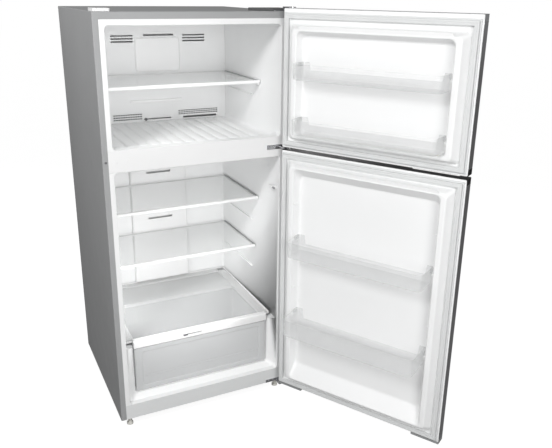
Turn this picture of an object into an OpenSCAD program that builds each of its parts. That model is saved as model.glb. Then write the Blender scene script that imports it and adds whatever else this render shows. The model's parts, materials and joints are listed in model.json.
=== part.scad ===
// Top-freezer refrigerator, 30 inch class, shown with both doors swung open.
// Frame: X to the right, Y from the front flange into the cabinet, Z up from the floor.
// Origin: on the floor, on the centre line, directly below the cabinet's front flange.
// The doors are described in their closed place and then turned open about the hinge axis.

/* [Cabinet] */
// Outside width of the cabinet and of both doors
cab_w = 762; // [740:1:800]
// Depth of the cabinet without its doors
cab_d = 708; // [700:1:740]
// Height of the cabinet's steel top above the floor
cab_top = 1676; // [1660:1:1700]
// Height of the lower edge of the side panels above the floor
cab_bottom = 38; // [36:1:42]
// Thickness of the steel skin
skin_t = 0.8; // [0.6:0.1:1.2]
// Width of the folded steel flange down each front edge
flange_w = 21; // [18:1:24]

/* [Compartments] */
// Clear width of both compartments
open_w = 680; // [660:1:690]
// Thickness of the moulded liners
liner_t = 2; // [1.5:0.5:2.5]
// Height of the freezer floor behind its front lip
freezer_floor = 1172; // [1170:1:1180]
// Height of the freezer ceiling
freezer_ceiling = 1629; // [1620:1:1632]
// Height of the fridge floor at the door
fridge_floor = 106; // [104:1:110]
// Height of the fridge ceiling
fridge_ceiling = 1104; // [1098:1:1106]
// Depth from the flange to the fridge's back wall
fridge_back = 640; // [630:1:645]
// Depth from the flange to the wall behind the evaporator
freezer_back = 655; // [650:1:660]

/* [Shelves and drawer] */
// Height of the freezer shelf's glass top
freezer_shelf_z = 1390; // [1370:1:1410]
// Height of the upper fridge shelf's glass top
upper_shelf_z = 874; // [850:1:900]
// Height of the lower fridge shelf's glass top
lower_shelf_z = 630; // [600:1:650]
// Clear width between the side walls beside the drawer
niche_w = 612; // [600:1:620]
// Height of the ledge that carries the drawer's cover
ledge_z = 350; // [345:1:352]
// Depth of the drawer, front to back
drawer_d = 384; // [340:1:386]

/* [Doors] */
// Angle by which both doors stand open
door_angle = 120; // [90:1:120]
// Thickness of each door behind its gasket
door_t = 50; // [48:1:54]
// Space between the doors' inner faces and the flange
gasket_gap = 14; // [13:1:15]
// How far the moulded rim inside each door stands out
rim_depth = 33; // [28:1:34]
// Height of the freezer door's lower edge
freezer_door_z0 = 1153.5; // [1152:0.5:1155]
// Height of the freezer door's upper edge
freezer_door_z1 = 1689; // [1688:1:1690]
// Height of the fridge door's lower edge
fridge_door_z0 = 47.7; // [47:0.1:50]
// Height of the fridge door's upper edge
fridge_door_z1 = 1141.5; // [1140:0.5:1142]

/* [Hinges, feet and rollers] */
// Distance of the hinge axis in from the cabinet's right side
hinge_in = 18; // [16:1:20]
// Distance of the hinge axis in front of the flange
hinge_out = 40; // [36:1:42]
// Radius of the hinge pins
pin_r = 5; // [4:0.5:6]
// Radius of a levelling foot's pad
foot_r = 13; // [12:1:16]
// Radius of a rear roller
roller_r = 18; // [16:1:19]

/* [Hidden] */
$fn = 48;
half_w = cab_w / 2;
half_open = open_w / 2;
half_niche = niche_w / 2;
gap = 0.2;                       // air left between separate pieces that lie against each other
seam = 0.1;                      // weld seam left open between the plates of one welded piece
run = 0.05;                      // radial running clearance of pins and shafts
in_x = half_w - skin_t - gap;    // inside face of the steel side panels
frame_x = half_w - flange_w - 0.4; // edge of the white strips inside the steel flange
top_flange = 25;
rear_flange = 12;
foam_y0 = 2.4;                   // front of the insulation, behind the flange and strips
foam_y1 = cab_d - 8;             // back of the insulation
back_y = cab_d - 2.4;            // front of the back panel
deck_z = 62;                     // top of the base frame under the fridge compartment
machine_y = 468;                 // front of the compressor compartment
machine_z = 262;                 // top of the compressor compartment
plate_z = 40;                    // top of the base plate that carries the compressor
hinge_x = half_w - hinge_in;
hinge_y = -hinge_out;
door_y1 = -gasket_gap;            // inner face of a closed door
door_y0 = door_y1 - door_t;
door_back = door_y1 - 2.2;       // back edge of a door's skin and caps, under the liner's border
cap_h = 22;                      // height of a door's end cap
cap_wall = 5;
bush_r = pin_r + 3;
lip_y = 44;                      // depth of the freezer's front lip
cover_y = 590;                   // front face of the evaporator cover
duct_y = 615;                    // front face of the fridge's air duct
mouth_y = 24;                    // depth of the straight mouth in front of the drawer
niche_y = 40;                    // depth at which the drawer's space reaches its own width
niche_z = fridge_floor + 24;     // floor of the drawer's space
niche_back = 430;
freezer_shelf_y = 186;           // front edges of the shelves
upper_shelf_y = 200;
lower_shelf_y = 230;
shelf_back = 612;                // back edge of the fridge's shelves
spare_freezer_z = 1332;          // glass heights of the spare ledges, where a shelf can be moved
spare_fridge_z = [755, 522];
spare_y = 260;
shelf_rail = 10;                 // depth of a shelf's side rails below the glass top
shelf_trim = 14;                 // depth of a shelf's front trim, front to back
arm_z = (freezer_door_z0 + fridge_door_z1) / 2; // middle of the gap between the doors
low_plate_z = cab_bottom + 9;    // middle of the bottom hinge's plate
fan_x = 14;
fan_z = 1458;
knob_z = 1184;
switch_x = 322;
switch_z = 966;

// ---- shared shapes -------------------------------------------------------------------------

// A block given by its lowest and highest corners.
module span(x0, x1, y0, y1, z0, z1) {
  translate([x0, y0, z0]) cube([x1 - x0, y1 - y0, z1 - z0]);
}

// A block centred on X = 0.
module mid(half, y0, y1, z0, z1) { span(-half, half, y0, y1, z0, z1); }

// A profile of (Y, Z) points, extruded across the cabinet's width.
module across(half, points) {
  translate([-half, 0, 0]) rotate([90, 0, 90]) linear_extrude(2 * half) polygon(points);
}

// A rod along Y.
module rod_y(r, y0, y1) { translate([0, y0, 0]) rotate([-90, 0, 0]) cylinder(r = r, h = y1 - y0); }

// A rod along X.
module rod_x(r, x0, x1) { translate([x0, 0, 0]) rotate([0, 90, 0]) cylinder(r = r, h = x1 - x0); }

// Repeats a piece on the left and the right.
module both_sides() { for (side = [0, 1]) mirror([side, 0, 0]) children(); }

// Turns a closed door open about the hinge axis.
module opened() {
  translate([hinge_x, hinge_y, 0]) rotate([0, 0, door_angle]) translate([-hinge_x, -hinge_y, 0])
    children();
}

// ---- cabinet -------------------------------------------------------------------------------

// The freezer's hollow, grown by the given amount for its liner and the foam.
module freezer_hollow(grow) {
  across(half_open + grow, [[-1, freezer_floor + 18 - grow], [lip_y, freezer_floor + 18 - grow],
    [lip_y + 20, freezer_floor - grow], [freezer_back + grow, freezer_floor - grow],
    [freezer_back + grow, freezer_ceiling + grow], [-1, freezer_ceiling + grow]]);
}

// The fridge's hollow: the main space above and the narrower drawer space below its ledge.
module fridge_hollow(grow) {
  bevel = 0.64 * grow;
  mid(half_open + grow, -1, fridge_back + grow, ledge_z - grow, fridge_ceiling + grow);
  intersection() {
    across(half_open + grow, [[-1, fridge_floor - grow], [mouth_y + bevel, fridge_floor - grow],
      [niche_y + bevel, niche_z - grow], [niche_back + grow, niche_z - grow],
      [niche_back + grow, ledge_z + 1], [-1, ledge_z + 1]]);
    translate([0, 0, fridge_floor - 10]) linear_extrude(ledge_z) polygon([[-half_open - grow, -1],
      [half_open + grow, -1], [half_open + grow, mouth_y + bevel],
      [half_niche + grow, niche_y + bevel], [half_niche + grow, niche_back + grow],
      [-half_niche - grow, niche_back + grow], [-half_niche - grow, niche_y + bevel],
      [-half_open - grow, mouth_y + bevel]]);
  }
}

// The cold-air passage through the divider, behind the evaporator cover.
module air_passage() { mid(50, 604, 632, fridge_ceiling - 4, freezer_floor + 4); }

// The places of the hinge screws: [x, y, z, true for one that is driven downwards].
screw_places = [[326, 40, cab_top + 3, true], [352, 60, cab_top + 3, true],
  [326, 84, cab_top + 3, true], [292, -3, arm_z, false], [312, -3, arm_z, false],
  [300, -3, low_plate_z, false], [320, -3, low_plate_z, false]];

// Puts a piece at each hinge screw, its axis along Z with the head above.
module at_screws() {
  for (p = screw_places)
    translate([p[0], p[1], p[2]]) rotate([p[3] ? 0 : 90, 0, 0]) children();
}

module screw_holes() { at_screws() translate([0, 0, -14]) cylinder(r = 2.6, h = 20); }

module cabinet_shell() {
  color("lightslategray") difference() {
    mid(half_w, 0, cab_d, cab_bottom, cab_top);
    mid(half_w - skin_t, skin_t, cab_d - skin_t, cab_bottom - 1, cab_top - skin_t);
    mid(half_w - flange_w, -1, 5, cab_bottom - 1, cab_top - top_flange);
    mid(half_w - rear_flange, cab_d - 5, cab_d + 1, cab_bottom - 1, cab_top - rear_flange);
    screw_holes();
    translate([-half_w + 12, 0, arm_z]) rod_y(3.6, -1, 5);
    translate([-342, 60, cab_top - 3]) cylinder(r = 3.6, h = 6);
  }
}

module cabinet_back() {
  color("gainsboro") {
    mid(in_x - 0.4, back_y, back_y + 0.8, machine_z + 4, cab_top - 2);
    // pressed stiffening ribs
    for (x = [-260, -130, 0, 130, 260]) span(x - 8, x + 8, back_y + 0.8, cab_d, 330, 1600);
  }
}

// Sheet plates welded together; a seam stays open between neighbours.
module base_frame() {
  rail_x = in_x - 0.4;
  plate0 = plate_z - 2;
  deck0 = deck_z - 1.2;
  step_z1 = machine_z + 1.2;
  y1 = foam_y1;
  color("dimgray") difference() {
    union() {
      // front cross member, open at the back
      mid(rail_x, 4, 6, plate0, deck_z);
      mid(rail_x, 6 + seam, 44, deck0, deck_z);
      mid(rail_x, 6 + seam, 44, plate0, plate_z);
      // side rails
      both_sides() span(rail_x - 50, rail_x, 44 + seam, y1, plate0, plate_z);
      both_sides() span(rail_x - 2, rail_x, 44 + seam, machine_y, plate_z + seam, deck0 - seam);
      // deck under the insulation and its step over the compressor
      mid(rail_x, 44 + seam, machine_y, deck0, deck_z);
      mid(rail_x, machine_y + seam, machine_y + 1.2, deck0, step_z1);
      mid(rail_x, machine_y + 1.2 + seam, y1, machine_z, step_z1);
      // base plate of the compressor compartment
      mid(rail_x - 50 - seam, 500, y1, plate0, plate_z);
      // tab that holds the supply cord's gland
      span(-350, -300, cab_d - 8, cab_d - 6, plate_z + seam, plate_z + 46);
      // roller ears
      both_sides() for (x = [318.5, 341.5]) span(x, x + 2, 640, 680, 8, plate0 - seam);
    }
    // openings for the levelling feet, the axles, the gland and the screws
    both_sides() translate([half_w - 40, 24, plate_z - 10]) cylinder(r = 5 + run, h = 40);
    both_sides() translate([0, 660, roller_r]) rod_x(4 + run, 310, 350);
    translate([-325, 0, plate_z + 24]) rod_y(11 + run, cab_d - 12, cab_d);
    screw_holes();
  }
}

// The insulation, in slabs that meet at narrow joints: walls, top, divider, backs and sill.
module foam_slabs() {
  wall_x = half_open + liner_t + gap;
  niche_x = half_niche + liner_t + gap;
  top_z = cab_top - skin_t - gap;
  bottom_z = deck_z + gap;
  step_y = machine_y - gap;
  step_z = machine_z + 1.2 + gap;
  freezer_y = freezer_back + liner_t + gap;
  fridge_y = fridge_back + liner_t + gap;
  drawer_y = niche_back + liner_t + gap;
  freezer_z = freezer_ceiling + liner_t + gap;
  fridge_z = fridge_ceiling + liner_t + gap;
  low_z = ledge_z - liner_t - gap;
  both_sides() {
    span(wall_x + gap, in_x, foam_y0, foam_y1, step_z, top_z);
    span(wall_x + gap, in_x, foam_y0, step_y, bottom_z, step_z - gap);
    span(niche_x + gap, wall_x, foam_y0, drawer_y - gap, bottom_z, low_z);
  }
  mid(wall_x, foam_y0, foam_y1, freezer_z, top_z);
  mid(wall_x, freezer_y, foam_y1, fridge_z + gap, freezer_z - gap);
  mid(wall_x, foam_y0, freezer_y - gap, fridge_z + gap, freezer_floor + 20);
  mid(wall_x, fridge_y, foam_y1, low_z + gap, fridge_z);
  mid(wall_x, drawer_y, foam_y1, step_z, low_z);
  mid(wall_x, drawer_y, step_y, bottom_z, step_z - gap);
  mid(niche_x, foam_y0, drawer_y - gap, bottom_z, low_z);
}

module cabinet_foam() {
  color("khaki") difference() {
    foam_slabs();
    freezer_hollow(liner_t + gap);
    fridge_hollow(liner_t + gap);
    air_passage();
    screw_holes();
    both_sides() translate([half_w - 40, 24, 0]) cylinder(r = 6, h = deck_z + 12);
    for (x = [-331, -287]) translate([x, 0, arm_z]) rod_y(4, 0, 14);
    translate([-half_w + 12, 0, arm_z]) rod_y(4, 0, 14);
    translate([-342, 60, cab_top - 14]) cylinder(r = 4, h = 20);
  }
}

// A white strip inside the steel flange, down one compartment's sides.
module side_strips(z0, z1) { mid(frame_x, 0, 2, z0, z1); }

// Ledges on both side walls for a shelf whose glass top is at z and whose front is at y0.
module shelf_ledges(z, y0, y1) {
  top_z = z - shelf_rail - gap;
  both_sides()
    span(half_open - 10, half_open + 0.5, y0 + shelf_trim + 1, y1, top_z - 9, top_z);
}

module freezer_liner() {
  rib_pitch = 48;
  color("white") {
    difference() {
      union() {
        intersection() {
          freezer_hollow(liner_t);
          mid(half_w, 0, cab_d, 0, cab_top);
        }
        side_strips(freezer_floor + 16, cab_top - top_flange - 0.4);
      }
      freezer_hollow(0);
      air_passage();
    }
    shelf_ledges(freezer_shelf_z, freezer_shelf_y, 584);
    shelf_ledges(spare_freezer_z, spare_y, 584);
    // rounded ribs that run from front to back along the floor
    intersection() {
      for (i = [-6 : 6]) translate([i * rib_pitch, 0, freezer_floor - 4]) rod_y(12, 116, 582);
      mid(half_open, 0, cover_y, freezer_floor - 1, freezer_floor + 20);
    }
  }
}

module fridge_liner() {
  color("white") {
    difference() {
      union() {
        intersection() {
          fridge_hollow(liner_t);
          mid(half_w, 0, cab_d, 0, cab_top);
        }
        side_strips(fridge_floor - 2, fridge_ceiling + 2);
      }
      fridge_hollow(0);
      air_passage();
    }
    shelf_ledges(upper_shelf_z, upper_shelf_y, shelf_back);
    shelf_ledges(lower_shelf_z, lower_shelf_y, shelf_back);
    for (z = spare_fridge_z) shelf_ledges(z, spare_y, shelf_back);
  }
}

module mullion_cover() {
  color("white") difference() {
    mid(frame_x, 0, 2, fridge_ceiling + 2 + gap, freezer_floor + 16 - gap);
    for (x = [-331, -287]) translate([x, 0, arm_z]) rod_y(3.6, -1, 3);
    screw_holes();
  }
}

module base_panel() {
  color("whitesmoke") difference() {
    union() {
      mid(frame_x, 0.2, 1.6, cab_bottom, fridge_floor - 2 - gap);
      mid(frame_x, 1.6, 3.8, cab_bottom, cab_bottom + 1.4);
    }
    screw_holes();
  }
}

module plug(head_r) {
  rod_y(head_r, -2, -gap);
  rod_y(3.5, -gap, 9);
}

module hole_plugs() {
  color("white") {
    for (x = [-331, -287]) translate([x, 0, arm_z]) plug(6);
    translate([-half_w + 12, 0, arm_z]) plug(4.5);
    // low cap over the spare hinge holes on the cabinet's top left
    difference() {
      span(-372, -312, 18, 104, cab_top + gap, cab_top + 11);
      span(-370, -314, 20, 102, cab_top, cab_top + 9);
    }
    translate([-342, 60, cab_top - 9]) cylinder(r = 3.5, h = 19);
  }
}

// ---- freezer interior ----------------------------------------------------------------------

// Level slots, one above the other, through a wall between the given depths.
module grille(x0, x1, z0, z1, count, y0, y1) {
  pitch = (z1 - z0) / count;
  for (i = [0 : count - 1]) span(x0, x1, y0, y1, z0 + i * pitch, z0 + (i + 0.5) * pitch);
}

module evaporator_cover() {
  x_edge = half_open - 0.4;
  color("white") difference() {
    union() {
      mid(x_edge, cover_y, cover_y + 2.5, freezer_floor + 0.4, freezer_ceiling - 0.4);
      // raised fan panel
      difference() {
        span(-90, 118, cover_y - 6, cover_y, 1396, 1548);
        span(-88, 116, cover_y - 4, cover_y + 1, 1398, 1546);
      }
      // lip that turns the cold air down
      across(120, [[cover_y, 1258], [cover_y - 9, 1261], [cover_y - 10, 1265], [cover_y, 1273]]);
    }
    grille(-192, -95, 1524, 1562, 3, cover_y - 1, cover_y + 4);
    grille(132, 238, 1524, 1562, 3, cover_y - 1, cover_y + 4);
    span(-48, 90, cover_y - 1, cover_y + 4, 1553, 1561);
    grille(-203, -70, 1182, 1214, 3, cover_y - 1, cover_y + 4);
    grille(101, 298, 1194, 1218, 3, cover_y - 1, cover_y + 4);
    span(125, 290, cover_y - 1, cover_y + 4, 1178, 1187);
    // track of the cold control
    span(-62, 66, cover_y - 1, cover_y + 4, knob_z - 2.5, knob_z + 2.5);
  }
}

module evaporator() {
  tube_r = 4;
  fins = 20;
  fin_pitch = 24;
  color("silver") {
    for (i = [0 : fins - 1])
      span((i - (fins - 1) / 2) * fin_pitch - 0.4, (i - (fins - 1) / 2) * fin_pitch + 0.4,
        600, 650, 1232, 1352);
    for (y = [612, 638], z = [1252, 1292, 1332])
      translate([0, y, z]) rod_x(tube_r, -250, 250);
    // bends that join neighbouring tubes
    for (y = [612, 638]) translate([250, y, 1272]) rotate([90, 0, 0])
      rotate_extrude(angle = 180, start = -90) translate([20, 0]) circle(r = tube_r);
    for (y = [612, 638]) translate([-250, y, 1312]) rotate([90, 0, 0])
      rotate_extrude(angle = 180, start = 90) translate([20, 0]) circle(r = tube_r);
  }
}

module evaporator_fan_motor() {
  color("gray") translate([fan_x, 0, fan_z]) {
    rod_y(24, 626, 652);
    rod_y(2.5, 602, 626);
    // bracket arms screwed to the liner
    span(-70, 70, 646, 648, -8, 8);
    for (x = [-66, 66]) translate([x, 0, 0]) rod_y(5, 648, 654.6);
  }
}

module evaporator_fan() {
  blades = 5;
  color("darkgray") translate([fan_x, 0, fan_z]) difference() {
    union() {
      rod_y(17, 600, 622);
      for (i = [0 : blades - 1]) rotate([0, i * 360 / blades, 0])
        translate([15, 611, 0]) rotate([32, 0, 0]) translate([0, -0.8, -15]) cube([38, 1.6, 30]);
    }
    rod_y(2.5 + run, 590, 630);
  }
}

module cold_control_knob() {
  color("gray") translate([-55, 0, knob_z]) {
    rod_y(6, cover_y - 8, cover_y - 0.3);
    span(-4, 4, cover_y - 1, cover_y + 3.5, -2.1, 2.1);
    span(-12, 30, cover_y + 2.9, cover_y + 4.5, -7, 7);
  }
}

// ---- shelves -------------------------------------------------------------------------------

shelf_half = half_open - 4;

// Tempered glass of a shelf whose top is at z, between two depths.
module shelf_glass(z, y0, y1) {
  mid(shelf_half - 2, y0 + 5, y1 - 3, z - 4, z);
}

// White frame round the glass: a round front trim, two slim side rails and a back rail.
module shelf_frame(z, y0, y1) {
  trim_r = 7;
  trim_z = z + 2 - trim_r;
  difference() {
    union() {
      mid(shelf_half, y0 + trim_r, y0 + shelf_trim, trim_z - trim_r, z + 2);
      translate([0, y0 + trim_r, trim_z]) rod_x(trim_r, -shelf_half, shelf_half);
      mid(shelf_half, y0 + shelf_trim, y1, z - shelf_rail, z + 1);
    }
    // open middle and the seat of the glass
    mid(shelf_half - 8, y0 + shelf_trim + 2, y1 - 9, z - 30, z + 10);
    mid(shelf_half - 2 + gap, y0 + 5 - gap, y1 - 3 + gap, z - 4 - gap, z + gap);
    mid(shelf_half - 4, y0 + shelf_trim - 2, y1 - 5, z - 1, z + 10);
  }
}

module freezer_shelf_glass() {
  color("lightcyan", 0.6) shelf_glass(freezer_shelf_z, freezer_shelf_y, 582);
}
module freezer_shelf_frame() { color("white") shelf_frame(freezer_shelf_z, freezer_shelf_y, 582); }
module upper_shelf_glass() {
  color("lightcyan", 0.6) shelf_glass(upper_shelf_z, upper_shelf_y, shelf_back);
}
module upper_shelf_frame() { color("white") shelf_frame(upper_shelf_z, upper_shelf_y, shelf_back); }
module lower_shelf_glass() {
  color("lightcyan", 0.6) shelf_glass(lower_shelf_z, lower_shelf_y, shelf_back);
}
module lower_shelf_frame() { color("white") shelf_frame(lower_shelf_z, lower_shelf_y, shelf_back); }

// ---- fridge interior -----------------------------------------------------------------------

module air_duct() {
  z0 = ledge_z + 16;
  color("white") difference() {
    mid(137, duct_y, fridge_back - gap, z0, fridge_ceiling - gap);
    mid(134, duct_y + 2.5, fridge_back - 3, z0 + 3, fridge_ceiling + 1);
    for (z = [923, 694]) span(-60, 58, duct_y - 1, duct_y + 4, z - 5, z + 5);
  }
}

module lamp_lens() {
  color("ivory") difference() {
    mid(70, 84, 156, fridge_ceiling - 14, fridge_ceiling - gap);
    mid(67, 87, 153, fridge_ceiling - 12, fridge_ceiling);
  }
}

module light_switch_housing() {
  color("whitesmoke") difference() {
    span(switch_x - 7, half_open - gap, 25, 50, switch_z - 7, switch_z + 7);
    translate([switch_x, 0, switch_z]) rod_y(4 + run, 24, 48);
  }
}

module light_switch_plunger() {
  color("lightgray") translate([switch_x, 0, switch_z]) rod_y(4, 12.5, 40);
}

module crisper_cover_glass() {
  color("lightcyan", 0.6) mid(326, 68, 628, ledge_z + 9, ledge_z + 13);
}

module crisper_cover_frame() {
  color("white") difference() {
    union() {
      mid(332, 62, 634, ledge_z + 0.4, ledge_z + 14.5);
      mid(half_niche - 4, 38, 62, ledge_z - 9, ledge_z + 18);
      translate([0, 44, ledge_z + 18]) rod_x(6, 4 - half_niche, half_niche - 4);
      mid(half_niche - 4, 44, 62, ledge_z + 18, ledge_z + 24);
    }
    mid(290, 82, 600, 0, cab_top);
    mid(326 + gap, 68 - gap, 628 + gap, ledge_z + 9 - gap, cab_top);
    // slot of the humidity slider and the space behind it
    span(-88, -4, 30, 50, ledge_z + 1, ledge_z + 8);
    span(-96, 4, 46, 56, ledge_z - 3, ledge_z + 12);
    mid(half_niche - 12, 56, 60, ledge_z - 10, ledge_z - 1);
  }
}

module humidity_slider() {
  color("gainsboro") {
    span(-86, -68, 35, 50, ledge_z + 1.4, ledge_z + 7.6);
    span(-92, -62, 47, 51, ledge_z - 2, ledge_z + 11);
  }
}

module crisper_drawer() {
  half = 300;
  y0 = 46;
  y1 = y0 + drawer_d;
  z0 = niche_z + 4;
  z1 = ledge_z - 14;
  color("aliceblue", 0.7) difference() {
    union() {
      mid(half, y0, y1 - 4, z0, z1);
      // raised border of the front panel and the runners
      mid(half, y0 - 4, y0, z0, z1);
      both_sides() span(262, 274, y0 + 10, y1 - 20, niche_z + 0.6, z0);
    }
    mid(half - 3, y0 + 3, y1 - 7, z0 + 3, z1 + 1);
    mid(half - 34, y0 - 5, y0, z0 + 28, z1 - 22);
  }
}

// ---- hinges, feet and rollers --------------------------------------------------------------

module hinge_bracket_top() {
  arm = freezer_door_z1 + 1.2;
  color("silver") difference() {
    union() {
      span(314, 374, 6, 96, cab_top + gap, cab_top + 3);
      span(348, 376, 6, 9, cab_top + gap, arm + 3);
      span(348, 376, hinge_y, 9, arm, arm + 3);
      translate([hinge_x, hinge_y, arm]) cylinder(r = 15, h = 3);
    }
    translate([hinge_x, hinge_y, arm - 1]) cylinder(r = pin_r + run, h = 6);
    screw_holes();
  }
}

module hinge_bracket_middle() {
  color("silver") difference() {
    union() {
      span(281, 376, -3, -gap, arm_z - 10, arm_z + 8);
      span(334, 376, hinge_y, -3, arm_z - 2, arm_z + 2);
      translate([hinge_x, hinge_y, arm_z - 2]) cylinder(r = 13, h = 4);
    }
    translate([hinge_x, hinge_y, arm_z - 3]) cylinder(r = pin_r + run, h = 6);
    screw_holes();
  }
}

module hinge_bracket_bottom() {
  z = cab_bottom + 2;
  color("silver") difference() {
    union() {
      span(284, 376, -3, -gap, z, z + 14);
      span(334, 376, hinge_y, -3, z, z + 4);
      translate([hinge_x, hinge_y, z]) cylinder(r = 13, h = 4);
    }
    translate([hinge_x, hinge_y, z - 1]) cylinder(r = pin_r + run, h = 6);
    screw_holes();
  }
}

// Steel pins: three for the hinges and an axle for each rear roller.
module pivot_pins() {
  color("lightgray") {
    translate([hinge_x, hinge_y, freezer_door_z1 - 16]) cylinder(r = pin_r, h = 21.5);
    translate([hinge_x, hinge_y, arm_z - 20]) cylinder(r = pin_r, h = 40);
    translate([hinge_x, hinge_y, cab_bottom + 2]) cylinder(r = pin_r, h = 24);
    both_sides() translate([0, 660, roller_r]) {
      rod_x(4, 316, 345);
      rod_x(7, 343.6, 345);
    }
  }
}

// Plan of the top hinge's cover: square at the back, with a slanting side towards the doors' arm.
module cover_plan(inset) {
  x1 = half_w - 2 - inset;
  y0 = 11 + inset;
  y1 = 112 - inset;
  polygon([[306 + 0.6 * inset, y0], [x1, y0], [x1, y1], [248 + inset, y1],
    [248 + inset, 96 + 0.4 * inset]]);
}

// Low cover over the plate of the top hinge, open in front where the arm comes out.
module hinge_cover() {
  h = 11;
  color("darkgray") translate([0, 0, cab_top]) difference() {
    translate([0, 0, gap]) linear_extrude(h - gap) cover_plan(0);
    translate([0, 0, -1]) linear_extrude(h - 1) cover_plan(2);
    span(312, 377, 0, 14, -1, 3.6);
  }
}

module hinge_screws() {
  color("lightgray") at_screws() difference() {
    union() {
      translate([0, 0, gap]) cylinder(r = 5.4, h = 2.6);
      translate([0, 0, -11]) cylinder(r = 2.5, h = 12);
    }
    translate([0, 0, 1.4]) for (a = [0, 90]) rotate([0, 0, a]) span(-3, 3, -0.6, 0.6, 0, 3);
  }
}

// One levelling foot: a pad with flats for a spanner and a threaded stem.
module foot(side) {
  translate([side * (half_w - 40), 24, 0]) {
    cylinder(r = foot_r, h = 10);
    translate([0, 0, 10]) cylinder(r = 9, h = 10, $fn = 6);
    cylinder(r = 5, h = deck_z + 4);
  }
}

module foot_left() { color("gainsboro") foot(-1); }
module foot_right() { color("gainsboro") foot(1); }

module roller(side) {
  translate([side * 331, 660, roller_r]) difference() {
    union() {
      rod_x(roller_r, -7, 7);
      rod_x(roller_r - 3, -9, 9);
    }
    rod_x(4 + run, -12, 12);
  }
}

module roller_left() { color("gainsboro") roller(-1); }
module roller_right() { color("gainsboro") roller(1); }

// ---- compressor compartment ----------------------------------------------------------------

comp_x = -130;
comp_y = 590;

module compressor() {
  color([0.12, 0.12, 0.13]) translate([comp_x, comp_y, 0]) {
    // welded steel shell with a domed top
    translate([0, 0, 62]) rotate_extrude() {
      square([74, 44]);
      translate([0, 30]) square([77, 5]);
      translate([0, 44]) intersection() {
        circle(r = 74);
        square(80);
      }
    }
    // legs on rubber mounts
    difference() {
      span(-105, 105, -62, 62, 59, 62.5);
      for (x = [-92, 92], y = [-50, 50]) translate([x, y, 50]) cylinder(r = 5, h = 20);
    }
    for (x = [-92, 92], y = [-50, 50]) translate([x, y, plate_z + gap]) {
      cylinder(r = 12, h = 59 - plate_z - 2 * gap);
      cylinder(r = 4.8, h = 26);
    }
    // terminal box
    span(68, 96, -30, 30, 84, 132);
  }
}

module drip_tray() {
  color("black") translate([comp_x, comp_y, 0]) difference() {
    span(-105, 105, -95, 95, 181, 214);
    span(-103, 103, -93, 93, 183, 215);
  }
}

module refrigerant_lines() {
  tube_r = 2.5;
  y = foam_y1 + 2.8;
  runs = 14;
  pitch = 86;
  bend = pitch / 2;
  z0 = 330;
  x_end = 270;
  joint = 0.1; // brazed joint left open between a tube and its bend
  color("peru") {
    // condenser: level runs behind the insulation, joined by bends at alternate ends
    for (i = [0 : runs - 1]) translate([0, y, z0 + i * pitch])
      rod_x(tube_r, joint - x_end, x_end - joint);
    for (i = [0 : runs - 2]) translate([i % 2 == 0 ? x_end : -x_end, y, z0 + (i + 0.5) * pitch])
      rotate([90, 0, 0]) rotate_extrude(angle = 180, start = i % 2 == 0 ? -90 : 90)
        translate([bend, 0]) circle(r = tube_r);
    // leg from the lowest run down to the compressor
    translate([-x_end, y, z0 - 20]) rotate([90, 0, 0])
      rotate_extrude(angle = 90, start = 90) translate([20, 0]) circle(r = tube_r);
    translate([-x_end - 20, y, 110]) cylinder(r = tube_r, h = z0 - 130 - joint);
    // filter dryer and the lines beside the compressor
    translate([120, comp_y + 70, 90]) cylinder(r = 9, h = 110);
    translate([120, comp_y + 70, 60]) cylinder(r = 3, h = 170);
    translate([60, comp_y + 70, 50]) cylinder(r = 4, h = 180);
  }
}

module power_inlet() {
  color([0.1, 0.1, 0.1]) translate([-325, 0, plate_z + 24]) difference() {
    union() {
      rod_y(11, cab_d - 20, cab_d - 5);
      rod_y(14, cab_d - 5.8, cab_d - 2);
      rod_y(14, cab_d - 12, cab_d - 8.2);
    }
    rod_y(4, cab_d - 30, cab_d);
  }
}

// ---- doors ---------------------------------------------------------------------------------

edge_r = 6; // radius of a door's front vertical edges

// A door's plan: square at the back, rounded at the front edges, shrunk by the given amount.
module door_plan(inset) {
  x = half_w - inset;
  y0 = door_y0 + inset;
  y1 = door_back - inset;
  r = edge_r - inset;
  translate([-x, y0 + r]) square([2 * x, y1 - y0 - r]);
  translate([r - x, y0]) square([2 * (x - r), y1 - y0]);
  for (side = [-1, 1]) translate([side * (x - r), y0 + r]) circle(r = r);
}

module door_skin(z0, z1) {
  translate([0, 0, z0 + cap_h]) difference() {
    linear_extrude(z1 - z0 - 2 * cap_h) door_plan(0);
    translate([0, 0, -1]) linear_extrude(z1 - z0) door_plan(skin_t);
    mid(half_w - 14, door_back - 4, door_back + 1, -1, z1);
  }
}

// The tapered rim inside a door, shrunk by inset: from its foot on the inner face to its crest.
module rim_outer(z0, z1, inset) {
  foot = half_open + 4 - inset;
  crest = foot - 17;
  y1 = door_y1 + rim_depth - inset;
  y_foot = door_y1 - 3 - 2 * inset;
  intersection() {
    translate([0, 0, z0]) linear_extrude(z1 - z0)
      polygon([[-foot, y_foot], [foot, y_foot], [foot, door_y1], [crest, y1], [-crest, y1],
        [-foot, door_y1]]);
    across(half_w, [[y_foot, z0 + inset], [y_foot, z1 - inset], [door_y1, z1 - inset],
      [y1, z1 - inset - 14], [y1, z0 + inset + 10], [door_y1, z0 + inset]]);
  }
}

// The recess inside the rim, grown by the given amount.
module rim_recess(z0, z1, top_slope, bottom_slope, grow) {
  wall = 28;
  crest = half_open + 4 - 17 - wall + 4;
  floor_x = crest - 6;
  y1 = door_y1 + rim_depth + 1;
  y0 = door_y1 - 8 - grow;
  intersection() {
    translate([0, 0, z0]) linear_extrude(z1 - z0)
      polygon([[-floor_x - grow, y0], [floor_x + grow, y0], [crest + grow, y1],
        [-crest - grow, y1]]);
    across(half_w, [[y0, z0 + wall + bottom_slope - grow], [y0, z1 - wall - top_slope + grow],
      [y1, z1 - wall + 6 + grow], [y1, z0 + wall - 8 - grow]]);
  }
}

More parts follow.
